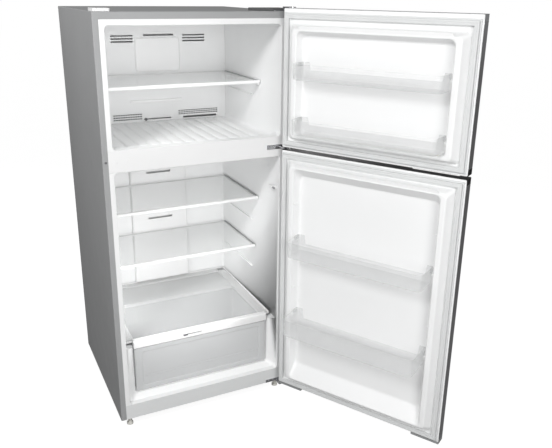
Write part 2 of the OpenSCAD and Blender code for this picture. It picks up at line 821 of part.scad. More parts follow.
// Pegs on the recess's side walls, which carry the bins.
module bin_pegs(levels) {
  both_sides() for (z = levels) {
    translate([0, door_y1 + 2, z]) rod_x(4, 297, 299.5);
    translate([0, door_y1 + 22, z]) rod_x(4, 297, 302.5);
  }
}

// A door's moulded inner panel between z0 and z1, with its rim between rim_z0 and rim_z1.
module door_liner(z0, z1, rim_z0, rim_z1, top_slope, bottom_slope, peg_levels) {
  difference() {
    union() {
      mid(half_w - 0.6, door_y1 - 2, door_y1, z0 + 1, z1 - 1);
      rim_outer(rim_z0, rim_z1, 0);
    }
    difference() {
      rim_outer(rim_z0, rim_z1, liner_t);
      rim_recess(rim_z0, rim_z1, top_slope, bottom_slope, liner_t);
    }
    rim_recess(rim_z0, rim_z1, top_slope, bottom_slope, 0);
  }
  intersection() {
    rim_recess(rim_z0, rim_z1, top_slope, bottom_slope, liner_t);
    difference() {
      mid(half_open, door_y1 - 10, door_y1 - 1, rim_z0, rim_z1);
      rim_recess(rim_z0, rim_z1, top_slope, bottom_slope, 0);
    }
  }
  bin_pegs(peg_levels);
}

module door_foam(z0, z1, rim_z0, rim_z1, top_slope, bottom_slope) {
  rim_inset = 8;    // air left under the rim's rounded corners
  difference() {
    union() {
      intersection() {
        translate([0, 0, z0 + cap_h + gap]) linear_extrude(z1 - z0 - 2 * cap_h - 2 * gap)
          door_plan(skin_t + gap);
        mid(half_w, door_y0, door_back - gap, z0, z1);
      }
      rim_outer(rim_z0, rim_z1, rim_inset);
    }
    rim_recess(rim_z0, rim_z1, top_slope, bottom_slope, liner_t + gap + 4);
  }
}

// A magnetic seal: a flange held by the door and a narrower bulb that meets the cabinet.
module door_gasket(z0, z1) {
  outer = half_w - 6;
  width = 22;
  step = 5;          // inset of the bulb, which keeps it off the cabinet as the door turns
  bulb_y0 = door_y1 + 5;
  difference() {
    union() {
      mid(outer, door_y1 + gap, bulb_y0, z0, z1);
      mid(outer - step, bulb_y0, -0.9, z0 + step, z1 - step);
    }
    mid(outer - width, door_y1 - 1, 0, z0 + width, z1 - width);
  }
}

// A hollow plastic end cap of height h from z up. The face that lies outwards is at the top when
// up is true. A finger recess on the free side serves as the handle where grip is true.
module door_cap(z, h, up, grip) {
  z_hollow0 = up ? z - 1 : z + cap_wall;
  difference() {
    union() {
      difference() {
        translate([0, 0, z]) linear_extrude(h) door_plan(0);
        translate([0, 0, z_hollow0]) linear_extrude(h - cap_wall + 1) door_plan(4);
      }
      translate([hinge_x, hinge_y, z]) cylinder(r = bush_r + 3, h = h);
    }
    translate([hinge_x, hinge_y, z - 1]) cylinder(r = bush_r + run, h = h + 2);
    if (grip) span(-half_w + 40, -half_w + 220, door_y0 - 1, door_y0 + 12, z - 1, z + h + 1);
  }
}

// Low pads under the two ends of the fridge door's bottom cap.
module cap_pads(z, h) {
  pad_w = 118;
  difference() {
    intersection() {
      translate([0, 0, z]) linear_extrude(h) door_plan(0);
      both_sides() span(half_w - pad_w, half_w, door_y0, door_back, z, z + h);
    }
    translate([hinge_x, hinge_y, z - 1]) cylinder(r = bush_r + run, h = h + 2);
  }
}

module door_bush(z) {
  translate([hinge_x, hinge_y, z]) difference() {
    cylinder(r = bush_r, h = cap_h - 2);
    translate([0, 0, -1]) cylinder(r = pin_r + run, h = cap_h);
  }
}

// A bin's plan: as wide as the recess, with round front corners.
module bin_plan(half, y0, y1, r) {
  translate([-half, y0]) square([2 * half, y1 - y0 - r]);
  translate([r - half, y0]) square([2 * (half - r), y1 - y0]);
  for (side = [-1, 1]) translate([side * (half - r), y1 - r]) circle(r = r);
}

module door_bin(z0, z1, depth) {
  half = 291;
  wall = 2.5;
  y0 = door_y1 - 5;
  y1 = door_y1 + depth;
  difference() {
    translate([0, 0, z0]) linear_extrude(z1 - z0) bin_plan(half, y0, y1, 24);
    translate([0, 0, z0 + wall]) linear_extrude(z1 - z0)
      bin_plan(half - wall, y0 + wall, y1 - wall, 24 - wall);
    mid(half - 30, y0 - 1, y0 + wall + 1, z0 + 30, z1 + 1);
  }
  // hooks that sit over the pegs in the door
  both_sides() span(half - 0.5, 296.5, door_y1 - 3, door_y1 + 28, z1 - 16, z1);
}

freezer_bins = [1436, 1226];     // heights of the freezer door's bins
fridge_bins = [727, 384];        // heights of the fridge door's bins
pad_h = 12;                      // height of the pads under the fridge door's bottom cap
freezer_rim = [freezer_door_z0 + 40, freezer_door_z1 - 58];
fridge_rim = [fridge_door_z0 + 58, fridge_door_z1 - 40];

module freezer_door_skin() {
  color("darkgray") opened() door_skin(freezer_door_z0, freezer_door_z1);
}
module freezer_door_liner() {
  color("white") opened() door_liner(freezer_door_z0, freezer_door_z1, freezer_rim[0],
    freezer_rim[1], 10, 0, [for (z = freezer_bins) z + 38]);
}
module freezer_door_foam() {
  color("khaki") opened() door_foam(freezer_door_z0, freezer_door_z1, freezer_rim[0],
    freezer_rim[1], 10, 0);
}
module freezer_door_gasket() {
  color("gainsboro") opened() door_gasket(freezer_door_z0 + 8, cab_top - 2);
}
module freezer_door_top_cap() {
  color("gray") opened() door_cap(freezer_door_z1 - cap_h, cap_h, true, false);
}
module freezer_door_bottom_cap() {
  color("dimgray") opened() door_cap(freezer_door_z0, cap_h, false, true);
}
module freezer_door_bushes() {
  color("white") opened() {
    door_bush(freezer_door_z0);
    door_bush(freezer_door_z1 - cap_h + 2);
  }
}
module freezer_bin_upper() {
  color("aliceblue") opened() door_bin(freezer_bins[0], freezer_bins[0] + 60, 92);
}
module freezer_bin_lower() {
  color("aliceblue") opened() door_bin(freezer_bins[1], freezer_bins[1] + 60, 92);
}
module fridge_door_skin() {
  color("darkgray") opened() door_skin(fridge_door_z0, fridge_door_z1);
}
module fridge_door_liner() {
  color("white") opened() door_liner(fridge_door_z0 + pad_h, fridge_door_z1, fridge_rim[0],
    fridge_rim[1], 26, 48, [for (z = fridge_bins) z + 46, 560, 930]);
}
module fridge_door_foam() {
  color("khaki") opened() door_foam(fridge_door_z0, fridge_door_z1, fridge_rim[0],
    fridge_rim[1], 26, 48);
}
module fridge_door_gasket() {
  color("gainsboro") opened() door_gasket(fridge_door_z0 + 18, fridge_door_z1 - 8);
}
module fridge_door_top_cap() {
  color([0.15, 0.15, 0.15]) opened() door_cap(fridge_door_z1 - cap_h, cap_h, true, true);
}
module fridge_door_bottom_cap() {
  color("dimgray") opened() {
    door_cap(fridge_door_z0 + pad_h, cap_h - pad_h, false, false);
    cap_pads(fridge_door_z0, pad_h);
  }
}
module fridge_door_bushes() {
  color("white") opened() {
    door_bush(fridge_door_z0);
    door_bush(fridge_door_z1 - cap_h + 2);
  }
}
module fridge_bin_upper() {
  color("aliceblue") opened() door_bin(fridge_bins[0], fridge_bins[0] + 68, 108);
}
module fridge_bin_lower() {
  color("aliceblue") opened() door_bin(fridge_bins[1], fridge_bins[1] + 74, 132);
}

cabinet_shell();
cabinet_back();
base_frame();
cabinet_foam();
freezer_liner();
fridge_liner();
mullion_cover();
base_panel();
hole_plugs();
evaporator_cover();
evaporator();
evaporator_fan_motor();
air_duct();
lamp_lens();
light_switch_housing();
crisper_cover_glass();
crisper_cover_frame();
hinge_bracket_top();
hinge_bracket_middle();
hinge_bracket_bottom();
pivot_pins();
hinge_cover();
hinge_screws();
compressor();
drip_tray();
refrigerant_lines();
power_inlet();
evaporator_fan();
cold_control_knob();
freezer_shelf_glass();
freezer_shelf_frame();
upper_shelf_glass();
upper_shelf_frame();
lower_shelf_glass();
lower_shelf_frame();
light_switch_plunger();
humidity_slider();
crisper_drawer();
foot_left();
foot_right();
roller_left();
roller_right();
freezer_door_skin();
freezer_door_liner();
freezer_door_foam();
freezer_door_gasket();
freezer_door_top_cap();
freezer_door_bottom_cap();
freezer_door_bushes();
freezer_bin_upper();
freezer_bin_lower();
fridge_door_skin();
fridge_door_liner();
fridge_door_foam();
fridge_door_gasket();
fridge_door_top_cap();
fridge_door_bottom_cap();
fridge_door_bushes();
fridge_bin_upper();
fridge_bin_lower();
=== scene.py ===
"""Looks of a top-freezer refrigerator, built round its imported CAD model.

Lengths are in millimetres while a piece is built and become metres when its mesh is made.
The frame is the CAD's: X to the right, Y from the front flange into the cabinet, Z up.
Door pieces are modelled closed and then swung to the rest pose about the hinge axis.
"""
import json
import math
from collections import namedtuple

import bmesh
import bpy
from mathutils import Matrix, Vector


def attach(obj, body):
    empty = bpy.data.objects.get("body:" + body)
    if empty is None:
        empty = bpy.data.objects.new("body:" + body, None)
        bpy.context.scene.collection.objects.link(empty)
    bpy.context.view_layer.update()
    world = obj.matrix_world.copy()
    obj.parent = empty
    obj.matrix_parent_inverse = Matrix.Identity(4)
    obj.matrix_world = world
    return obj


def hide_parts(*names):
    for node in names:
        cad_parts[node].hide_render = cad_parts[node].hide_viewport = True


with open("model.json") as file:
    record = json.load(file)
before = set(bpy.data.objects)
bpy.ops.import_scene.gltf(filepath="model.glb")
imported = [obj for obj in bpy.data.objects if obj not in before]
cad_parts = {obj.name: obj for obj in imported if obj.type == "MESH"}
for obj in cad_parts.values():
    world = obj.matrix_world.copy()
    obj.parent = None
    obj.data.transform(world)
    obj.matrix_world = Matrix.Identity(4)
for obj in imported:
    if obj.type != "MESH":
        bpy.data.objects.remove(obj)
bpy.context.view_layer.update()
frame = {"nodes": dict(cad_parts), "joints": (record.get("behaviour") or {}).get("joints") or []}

MM = 0.001
Box = namedtuple("Box", "x0 x1 y0 y1 z0 z1")


# ---- measures read from the frame ------------------------------------------------------------

def joint(name):
    """The record's joint of that name."""
    return next(j for j in frame["joints"] if j["name"] == name)


HINGE = Vector(joint("fridge_door_hinge")["pos_m"]) / MM
OPEN_ANGLE = math.radians(-joint("fridge_door_hinge")["range_deg"][0])
SWING = (Matrix.Translation((HINGE.x, HINGE.y, 0)) @ Matrix.Rotation(OPEN_ANGLE, 4, "Z")
         @ Matrix.Translation((-HINGE.x, -HINGE.y, 0)))


def box_of(node, closed=False):
    """The box of a CAD node in millimetres; closed gives a door piece's box with its door shut."""
    turn = SWING.inverted() if closed else Matrix.Identity(4)
    corners = [turn @ (v.co / MM) for v in frame["nodes"][node].data.vertices]
    spans = [(min(c[i] for c in corners), max(c[i] for c in corners)) for i in range(3)]
    return Box(*spans[0], *spans[1], *spans[2])


# ---- materials -------------------------------------------------------------------------------

def linear(grey_or_rgb):
    """An sRGB grey or colour, from 0 to 1, as the linear RGBA that shaders take."""
    rgb = grey_or_rgb if hasattr(grey_or_rgb, "__len__") else (grey_or_rgb,) * 3
    return tuple(c / 12.92 if c <= 0.04045 else ((c + 0.055) / 1.055) ** 2.4 for c in rgb) + (1.0,)


def node_at(tree, kind, inputs=None, **settings):
    """A new shader node with its settings and its constant inputs."""
    node = tree.nodes.new(kind)
    for key, value in settings.items():
        setattr(node, key, value)
    for key, value in (inputs or {}).items():
        node.inputs[key].default_value = value
    return node


def noise(tree, coords, scale, detail=3.0, stretch=(1, 1, 1)):
    """Noise in the object's own coordinates; stretch above 1 packs it tighter along an axis."""
    mapping = node_at(tree, "ShaderNodeMapping", {"Scale": stretch})
    tree.links.new(coords, mapping.inputs["Vector"])
    texture = node_at(tree, "ShaderNodeTexNoise", {"Scale": scale, "Detail": detail})
    tree.links.new(mapping.outputs["Vector"], texture.inputs["Vector"])
    return texture.outputs["Fac"]


def ranged(tree, value, low, high):
    """A noise value spread over a range."""
    node = node_at(tree, "ShaderNodeMapRange", {"From Min": 0.3, "From Max": 0.7,
                                                "To Min": low, "To Max": high})
    tree.links.new(value, node.inputs["Value"])
    return node.outputs["Result"]


def material(name, colour, rough, shade=0.03, metallic=0.0, patch=3.0, grain=900.0, bump=0.05,
             stretch=(1, 1, 1), rough_spread=0.04, coat=0.0, specular=0.5, depth=0.1, clear=None):
    """A procedural finish: patches of slightly different colour, uneven gloss and a fine grain.

    shade is the spread of the colour's value, depth the bump's height in millimetres, and clear
    the opacity seen straight on and edge on, for glass and clear plastic.
    """
    made = bpy.data.materials.new(name)
    made.use_nodes = True
    tree = made.node_tree
    shader = tree.nodes["Principled BSDF"]
    for key, value in (("Metallic", metallic), ("Coat Weight", coat), ("IOR", 1.5),
                       ("Specular IOR Level", specular)):
        shader.inputs[key].default_value = value
    coords = node_at(tree, "ShaderNodeTexCoord").outputs["Object"]
    tone = ranged(tree, noise(tree, coords, patch, 4.0), 1 - shade, 1 + shade)
    paint = node_at(tree, "ShaderNodeHueSaturation", {"Color": linear(colour)})
    tree.links.new(tone, paint.inputs["Value"])
    tree.links.new(paint.outputs["Color"], shader.inputs["Base Color"])
    fine = noise(tree, coords, grain, 2.0, stretch)
    gloss = ranged(tree, noise(tree, coords, patch * 6, 3.0, stretch), rough - rough_spread,
                   rough + rough_spread)
    tree.links.new(gloss, shader.inputs["Roughness"])
    relief = node_at(tree, "ShaderNodeBump", {"Strength": bump, "Distance": depth * MM})
    tree.links.new(fine, relief.inputs["Height"])
    tree.links.new(relief.outputs["Normal"], shader.inputs["Normal"])
    if clear:
        edge_on = node_at(tree, "ShaderNodeLayerWeight", {"Blend": 0.35}).outputs["Facing"]
        opacity = node_at(tree, "ShaderNodeMapRange", {"To Min": clear[0], "To Max": clear[1]})
        tree.links.new(edge_on, opacity.inputs["Value"])
        tree.links.new(opacity.outputs["Result"], shader.inputs["Alpha"])
    return made


PAINT = material("grey_textured_paint", (0.645, 0.648, 0.651), 0.42, shade=0.035, patch=2.2,
                 grain=420.0, bump=0.25, depth=0.12)
STEEL = material("brushed_door_steel", (0.74, 0.745, 0.75), 0.34, shade=0.02, metallic=0.85,
                 patch=4.0, grain=60.0, stretch=(6, 6, 0.1), bump=0.08, depth=0.02)
ZINC = material("galvanised_sheet", (0.78, 0.79, 0.80), 0.5, shade=0.06, metallic=0.6,
                patch=30.0, grain=300.0, bump=0.08)
BLACK_STEEL = material("black_coated_steel", (0.20, 0.20, 0.205), 0.5, shade=0.08, grain=500.0,
                       bump=0.15)
FOAM = material("rigid_foam", (0.88, 0.82, 0.62), 0.9, shade=0.06, patch=12.0, grain=350.0,
                bump=0.6, depth=0.4)
LINER = material("gloss_white_liner", (0.96, 0.962, 0.962), 0.3, shade=0.01, patch=2.5,
                 grain=14.0, bump=0.3, rough_spread=0.02)
TRIM = material("white_moulded_trim", (0.945, 0.945, 0.945), 0.34, shade=0.012, patch=5.0,
                grain=30.0, bump=0.2, depth=0.05)
COVER_WHITE = material("satin_white_cover", (0.92, 0.922, 0.922), 0.42, shade=0.012, patch=5.0,
                       grain=30.0, bump=0.2, depth=0.05)
PANEL = material("white_painted_panel", (0.90, 0.905, 0.905), 0.36, shade=0.02, grain=500.0,
                 bump=0.12)
FINS = material("bright_fins", (0.82, 0.83, 0.84), 0.32, shade=0.05, metallic=0.9, patch=20.0,
                grain=400.0, bump=0.1)
MOTOR = material("grey_motor_plastic", (0.40, 0.40, 0.41), 0.5, shade=0.05, grain=900.0, bump=0.15)
GLASS = material("tempered_shelf_glass", (0.88, 0.89, 0.888), 0.06, shade=0.01, grain=30.0,
                 bump=0.01, rough_spread=0.02, clear=(0.08, 0.34))
COVER_GLASS = material("crisper_cover_glass", (0.93, 0.935, 0.935), 0.08, shade=0.01, grain=30.0,
                       bump=0.01, rough_spread=0.02, clear=(0.12, 0.42))
CLEAR = material("clear_styrene", (0.93, 0.934, 0.936), 0.12, shade=0.015, grain=60.0, bump=0.02,
                 rough_spread=0.03, clear=(0.08, 0.4))
DRAWER = material("crisper_styrene", (0.93, 0.934, 0.936), 0.2, shade=0.02, grain=60.0, bump=0.02,
                  rough_spread=0.03, clear=(0.4, 0.62))
FROSTED = material("frosted_lens", (0.93, 0.93, 0.91), 0.5, shade=0.02, grain=700.0, bump=0.2)
HINGE_STEEL = material("plated_hinge_steel", (0.86, 0.86, 0.87), 0.2, shade=0.06, metallic=0.95,
                       patch=25.0, grain=500.0, bump=0.12)
GREY_CAP = material("grey_cap_plastic", (0.60, 0.605, 0.61), 0.5, shade=0.03, grain=1100.0,
                    bump=0.2)
DARK_CAP = material("dark_cap_plastic", (0.33, 0.333, 0.336), 0.5, shade=0.04, grain=1100.0,
                    bump=0.2)
BLACK_CAP = material("black_cap_plastic", (0.11, 0.11, 0.115), 0.48, shade=0.06, grain=1100.0,
                     bump=0.2)
SEAL = material("soft_seal", (0.86, 0.865, 0.865), 0.55, shade=0.02, patch=8.0, grain=700.0,
                bump=0.1)
ENAMEL = material("black_enamel", (0.10, 0.10, 0.10), 0.25, shade=0.08, patch=15.0, grain=350.0,
                  bump=0.12, coat=0.3)
COPPER = material("drawn_copper", (0.80, 0.50, 0.33), 0.3, shade=0.1, metallic=0.95, patch=30.0,
                  grain=400.0, bump=0.08)
NYLON = material("natural_nylon", (0.90, 0.895, 0.87), 0.45, shade=0.03, patch=20.0, grain=800.0,
                 bump=0.12)


# ---- shared shapes ---------------------------------------------------------------------------

def arc(cx, cy, r, start, end, steps=6):
    """Points on an arc between two angles in degrees, both ends included."""
    angles = [math.radians(start + (end - start) * i / steps) for i in range(steps + 1)]
    return [(cx + r * math.cos(a), cy + r * math.sin(a)) for a in angles]


def rounded(x0, x1, y0, y1, radii, steps=6):
    """A rounded rectangle. radii is one radius, or four: low-low, high-low, high-high, low-high."""
    a, b, c, d = radii if hasattr(radii, "__len__") else (radii,) * 4
    return (arc(x0 + a, y0 + a, a, 180, 270, steps) + arc(x1 - b, y0 + b, b, 270, 360, steps)
            + arc(x1 - c, y1 - c, c, 0, 90, steps) + arc(x0 + d, y1 - d, d, 90, 180, steps))


def facing(y, x0, x1, z0, z1, r, steps=6):
    """A rounded rectangle that faces the front, at depth y."""
    return [Vector((x, y, z)) for x, z in rounded(x0, x1, z0, z1, r, steps)]


def level(z, x0, x1, y0, y1, r, steps=6):
    """A level rounded rectangle at height z."""
    return [Vector((x, y, z)) for x, y in rounded(x0, x1, y0, y1, r, steps)]


def add_loft(bm, rings, start=True, end=True, closed=True):
    """Joins rings of equal length with faces; start and end close the first and last ring."""
    rows = [[bm.verts.new(p) for p in ring] for ring in rings]
    count = len(rows[0])
    for low, high in zip(rows, rows[1:]):
        for i in range(count if closed else count - 1):
            j = (i + 1) % count
            bm.faces.new((low[i], low[j], high[j], high[i]))
    if start:
        bm.faces.new(reversed(rows[0]))
    if end:
        bm.faces.new(rows[-1])
    return rows


def add_block(bm, x0, x1, y0, y1, z0, z1, r=1.0, segments=2):
    """A block with rounded edges."""
    part = bmesh.new()
    bmesh.ops.create_cube(part, size=1.0)
    part.transform(Matrix.Translation(((x0 + x1) / 2, (y0 + y1) / 2, (z0 + z1) / 2))
                   @ Matrix.Diagonal((x1 - x0, y1 - y0, z1 - z0, 1)))
    r = min(r, 0.45 * min(x1 - x0, y1 - y0, z1 - z0))
    if r > 0:
        bmesh.ops.bevel(part, geom=part.edges[:], offset=r, segments=segments, profile=0.5,
                        affect="EDGES")
    copy_into(bm, part)


def copy_into(bm, part):
    """Adds one bmesh to another."""
    mesh = bpy.data.meshes.new("part")
    part.to_mesh(mesh)
    part.free()
    bm.from_mesh(mesh)
    bpy.data.meshes.remove(mesh)


def add_frame(bm, profile, x0, x1, z0, z1):
    """Sweeps a closed profile of (inset, y) points round a rectangle, mitred at its corners."""
    corners = ((x0, z0, 1, 1), (x1, z0, -1, 1), (x1, z1, -1, -1), (x0, z1, 1, -1))
    rows = [[bm.verts.new((x + sx * inset, y, z + sz * inset)) for inset, y in profile]
            for x, z, sx, sz in corners]
    count = len(profile)
    for k in range(4):
        low, high = rows[k], rows[(k + 1) % 4]
        for i in range(count):
            j = (i + 1) % count
            bm.faces.new((low[i], low[j], high[j], high[i]))


def add_plate(bm, x0, x1, z0, z1, y0, y1, holes=()):
    """An upright plate between two depths with rectangular holes (x0, x1, z0, z1)."""
    xs = sorted({x0, x1, *(v for h in holes for v in h[:2])})
    zs = sorted({z0, z1, *(v for h in holes for v in h[2:])})

    def solid(i, k):
        if not (0 <= i < len(xs) - 1 and 0 <= k < len(zs) - 1):
            return False
        x, z = (xs[i] + xs[i + 1]) / 2, (zs[k] + zs[k + 1]) / 2
        return not any(h[0] < x < h[1] and h[2] < z < h[3] for h in holes)

    points = {}

    def point(i, k, y):
        if (i, k, y) not in points:
            points[i, k, y] = bm.verts.new((xs[i], y, zs[k]))
        return points[i, k, y]

    for i in range(len(xs) - 1):
        for k in range(len(zs) - 1):
            if not solid(i, k):
                continue
            square = [(i, k), (i + 1, k), (i + 1, k + 1), (i, k + 1)]
            bm.faces.new([point(*c, y0) for c in square])
            bm.faces.new([point(*c, y1) for c in reversed(square)])
            for (a, b), (di, dk) in zip(((0, 1), (1, 2), (2, 3), (3, 0)),
                                        ((0, -1), (1, 0), (0, 1), (-1, 0))):
                if not solid(i + di, k + dk):
                    p, q = square[a], square[b]
                    bm.faces.new((point(*q, y0), point(*p, y0), point(*p, y1), point(*q, y1)))


def add_rod(bm, start, end, r, sides=16, dome=0.0):
    """A round rod between two points; dome above 0 rounds its ends."""
    start, end = Vector(start), Vector(end)
    along = (end - start).normalized()
    across = along.orthogonal().normalized()
    other = along.cross(across)

    def circle(centre, radius):
        turns = [2 * math.pi * i / sides for i in range(sides)]
        return [centre + across * radius * math.cos(t) + other * radius * math.sin(t)
                for t in turns]

    rings = [circle(start, r), circle(end, r)]
    if dome:
        ends = [(0.0, r - dome), (dome * 0.3, r - dome * 0.3), (dome, r)]
        rings = ([circle(start + along * d, q) for d, q in ends]
                 + [circle(end - along * d, q) for d, q in reversed(ends)])
    add_loft(bm, rings)


# ---- pieces ----------------------------------------------------------------------------------

def make_piece(name, bm, finish, body, stands_for=(), swung=False, sheet=0.0, round_off=0.0,
               sharp=38.0, inward=False):
    """Turns a bmesh in millimetres into a piece that rides on a body.

    sheet gives an open surface that thickness behind its face, which is its inside when inward
    is true. round_off bevels what edges are left sharp. swung turns a closed-door piece open.
    """
    bmesh.ops.remove_doubles(bm, verts=bm.verts[:], dist=0.001)
    bmesh.ops.recalc_face_normals(bm, faces=bm.faces[:])
    if inward:
        bmesh.ops.reverse_faces(bm, faces=bm.faces[:])
    if swung:
        bm.transform(SWING)
    bm.transform(Matrix.Scale(MM, 4))
    mesh = bpy.data.meshes.new(name)
    bm.to_mesh(mesh)
    bm.free()
    mesh.shade_smooth()
    mesh.set_sharp_from_angle(angle=math.radians(sharp))
    mesh.materials.append(finish)
    piece = bpy.data.objects.new(name, mesh)
    bpy.context.scene.collection.objects.link(piece)
    if sheet:
        solid = piece.modifiers.new("sheet", "SOLIDIFY")
        solid.thickness = sheet * MM
        solid.offset = -1.0
        solid.use_even_offset = True
    if round_off:
        add_bevel(piece, round_off)
    shading = piece.modifiers.new("shading", "WEIGHTED_NORMAL")
    shading.keep_sharp = True
    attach(piece, body)
    if stands_for:
        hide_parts(*stands_for)


def add_bevel(piece, width):
    """Rounds a piece's sharp edges by the given width in millimetres."""
    bevel = piece.modifiers.new("edges", "BEVEL")
    bevel.width = width * MM
    bevel.segments = 2
    bevel.limit_method = "ANGLE"
    bevel.angle_limit = math.radians(32)


def dress(node, finish, round_off):
    """Keeps a CAD node: cleans its facets, rounds its edges and gives it a finish."""
    piece = frame["nodes"][node]
    piece.data.materials.clear()
    piece.data.materials.append(finish)
    weld = piece.modifiers.new("weld", "WELD")
    weld.merge_threshold = 0.00002
    if round_off:
        flat = piece.modifiers.new("flat", "DECIMATE")
        flat.decimate_type = "DISSOLVE"
        flat.angle_limit = math.radians(1.0)
        add_bevel(piece, round_off)
    smooth = piece.modifiers.new("shading", "WEIGHTED_NORMAL")
    smooth.keep_sharp = True
    piece.data.shade_smooth()


# ---- cabinet ---------------------------------------------------------------------------------

COVER = box_of("evaporator_cover")
FREEZER_STRIP = box_of("freezer_liner")
FRIDGE_STRIP = box_of("fridge_liner")
CRISPER_FRAME = box_of("crisper_cover_frame")
EDGE_GAP = 0.4                          # air between a cover and the walls beside it
FLANGE_GAP = 0.05                       # and between the steel flange and the liners' edges
OPEN_X = COVER.x1 + EDGE_GAP            # half the clear width of both compartments
LEDGE_Z = CRISPER_FRAME.z0 + 9          # ledge that carries the crisper cover
CORNER = 14                             # radius of the liners' long corners
SPARE_LEDGE = 5                         # how far an empty shelf position stands out
SPARE_Y0 = 275                          # where it starts behind the flange
FREEZER_SPARES = (1332,)                # tops of the glass that the empty positions would carry
FRIDGE_SPARES = (755, 522)


def add_quads(bm, quads):
    """Adds faces given by their corners."""
    for corners in quads:
        bm.faces.new([bm.verts.new(c) for c in corners])


def folded_edges(bm, test):
    """The edges between two faces whose ends both pass the test."""
    return [e for e in bm.edges if len(e.link_faces) == 2 and all(test(v.co) for v in e.verts)]


def cabinet_wrap():
    """Sides and top of one painted sheet with folded flanges at the front and the back."""
    box = box_of("cabinet_shell")
    flange_x = FREEZER_STRIP.x1 + FLANGE_GAP
    flange_z = FREEZER_STRIP.z1 + FLANGE_GAP
    rear = 12
    bm = bmesh.new()
    for side in (-1, 1):
        x = side * box.x1
        add_quads(bm, [
            [(x, box.y0, box.z0), (x, box.y1, box.z0), (x, box.y1, box.z1), (x, box.y0, box.z1)],
            [(x, box.y0, box.z0), (side * flange_x, box.y0, box.z0),
             (side * flange_x, box.y0, flange_z), (x, box.y0, box.z1)],
            [(x, box.y1, box.z0), (x - side * rear, box.y1, box.z0),
             (x - side * rear, box.y1, box.z1 - rear), (x, box.y1, box.z1)]])
    add_quads(bm, [
        [(box.x0, box.y0, box.z1), (box.x1, box.y0, box.z1), (box.x1, box.y1, box.z1),
         (box.x0, box.y1, box.z1)],
        [(box.x0, box.y0, box.z1), (box.x1, box.y0, box.z1), (flange_x, box.y0, flange_z),
         (-flange_x, box.y0, flange_z)],
        [(box.x0, box.y1, box.z1), (box.x1, box.y1, box.z1),
         (box.x1 - rear, box.y1, box.z1 - rear), (box.x0 + rear, box.y1, box.z1 - rear)]])
    bmesh.ops.remove_doubles(bm, verts=bm.verts[:], dist=0.001)
    bmesh.ops.recalc_face_normals(bm, faces=bm.faces[:])
    folds = folded_edges(bm, lambda co: abs(co.x) > box.x1 - 1 and
                         (abs(co.y - box.y0) < 1 or abs(co.y - box.y1) < 1))
    folds += folded_edges(bm, lambda co: co.z > box.z1 - 1)
    bmesh.ops.bevel(bm, geom=list(set(folds)), offset=2.8, segments=5, profile=0.5,
                    affect="EDGES")
    make_piece("cabinet_wrap", bm, PAINT, "cabinet", ["cabinet_shell"],
               sheet=0.8, sharp=50)


def back_panel():
    """Galvanised back with a row of pressed ribs."""
    box = box_of("cabinet_back")
    rib_half, rib_end, rib_pitch, foot = 8, 30, 130, 3
    y_sheet = box.y1 - 1.6
    z0, z1 = 330, 1600
    bm = bmesh.new()
    add_block(bm, box.x0, box.x1, box.y0, y_sheet, box.z0, box.z1, r=0.3, segments=1)
    for i in range(-2, 3):
        x = i * rib_pitch
        add_loft(bm, [facing(y_sheet - 0.1, x - rib_half, x + rib_half, z0, z1, rib_half - 0.5),
                      facing(y_sheet + 0.9, x - rib_half + foot * 0.4, x + rib_half - foot * 0.4,
                             z0 + rib_end * 0.2, z1 - rib_end * 0.2, rib_half - foot * 0.5),
                      facing(box.y1, x - rib_half + foot, x + rib_half - foot, z0 + rib_end * 0.4,
                             z1 - rib_end * 0.4, rib_half - foot - 0.3)], start=False)
    make_piece("back_panel_sheet", bm, ZINC, "cabinet", ["cabinet_back"])


def add_ledges(bm, glass_top, y0, y1, size=10):
    """Moulded ledges on both side walls that carry a shelf."""
    top = glass_top - 10.2
    for side in (-1, 1):
        x = sorted((side * (OPEN_X - size), side * (OPEN_X + 0.5)))
        add_block(bm, *x, y0, y1, top - 0.9 * size, top, r=0.35 * size, segments=3)


def add_rib(bm, x, y0, y1, z, half, rise):
    """A half-round rib along Y that tapers to the floor at both ends."""
    steps = [(0, 0.06), (3, 0.5), (8, 0.8), (16, 0.96), (26, 1.0)]
    places = [(y0 + d, s) for d, s in steps] + [(y1 - d, s) for d, s in reversed(steps)]
    rings = [[Vector((x - half * s * math.cos(math.pi * i / 10), y,
                      z + rise * s * math.sin(math.pi * i / 10))) for i in range(11)]
             for y, s in places]
    add_loft(bm, rings, start=False, end=False, closed=False)


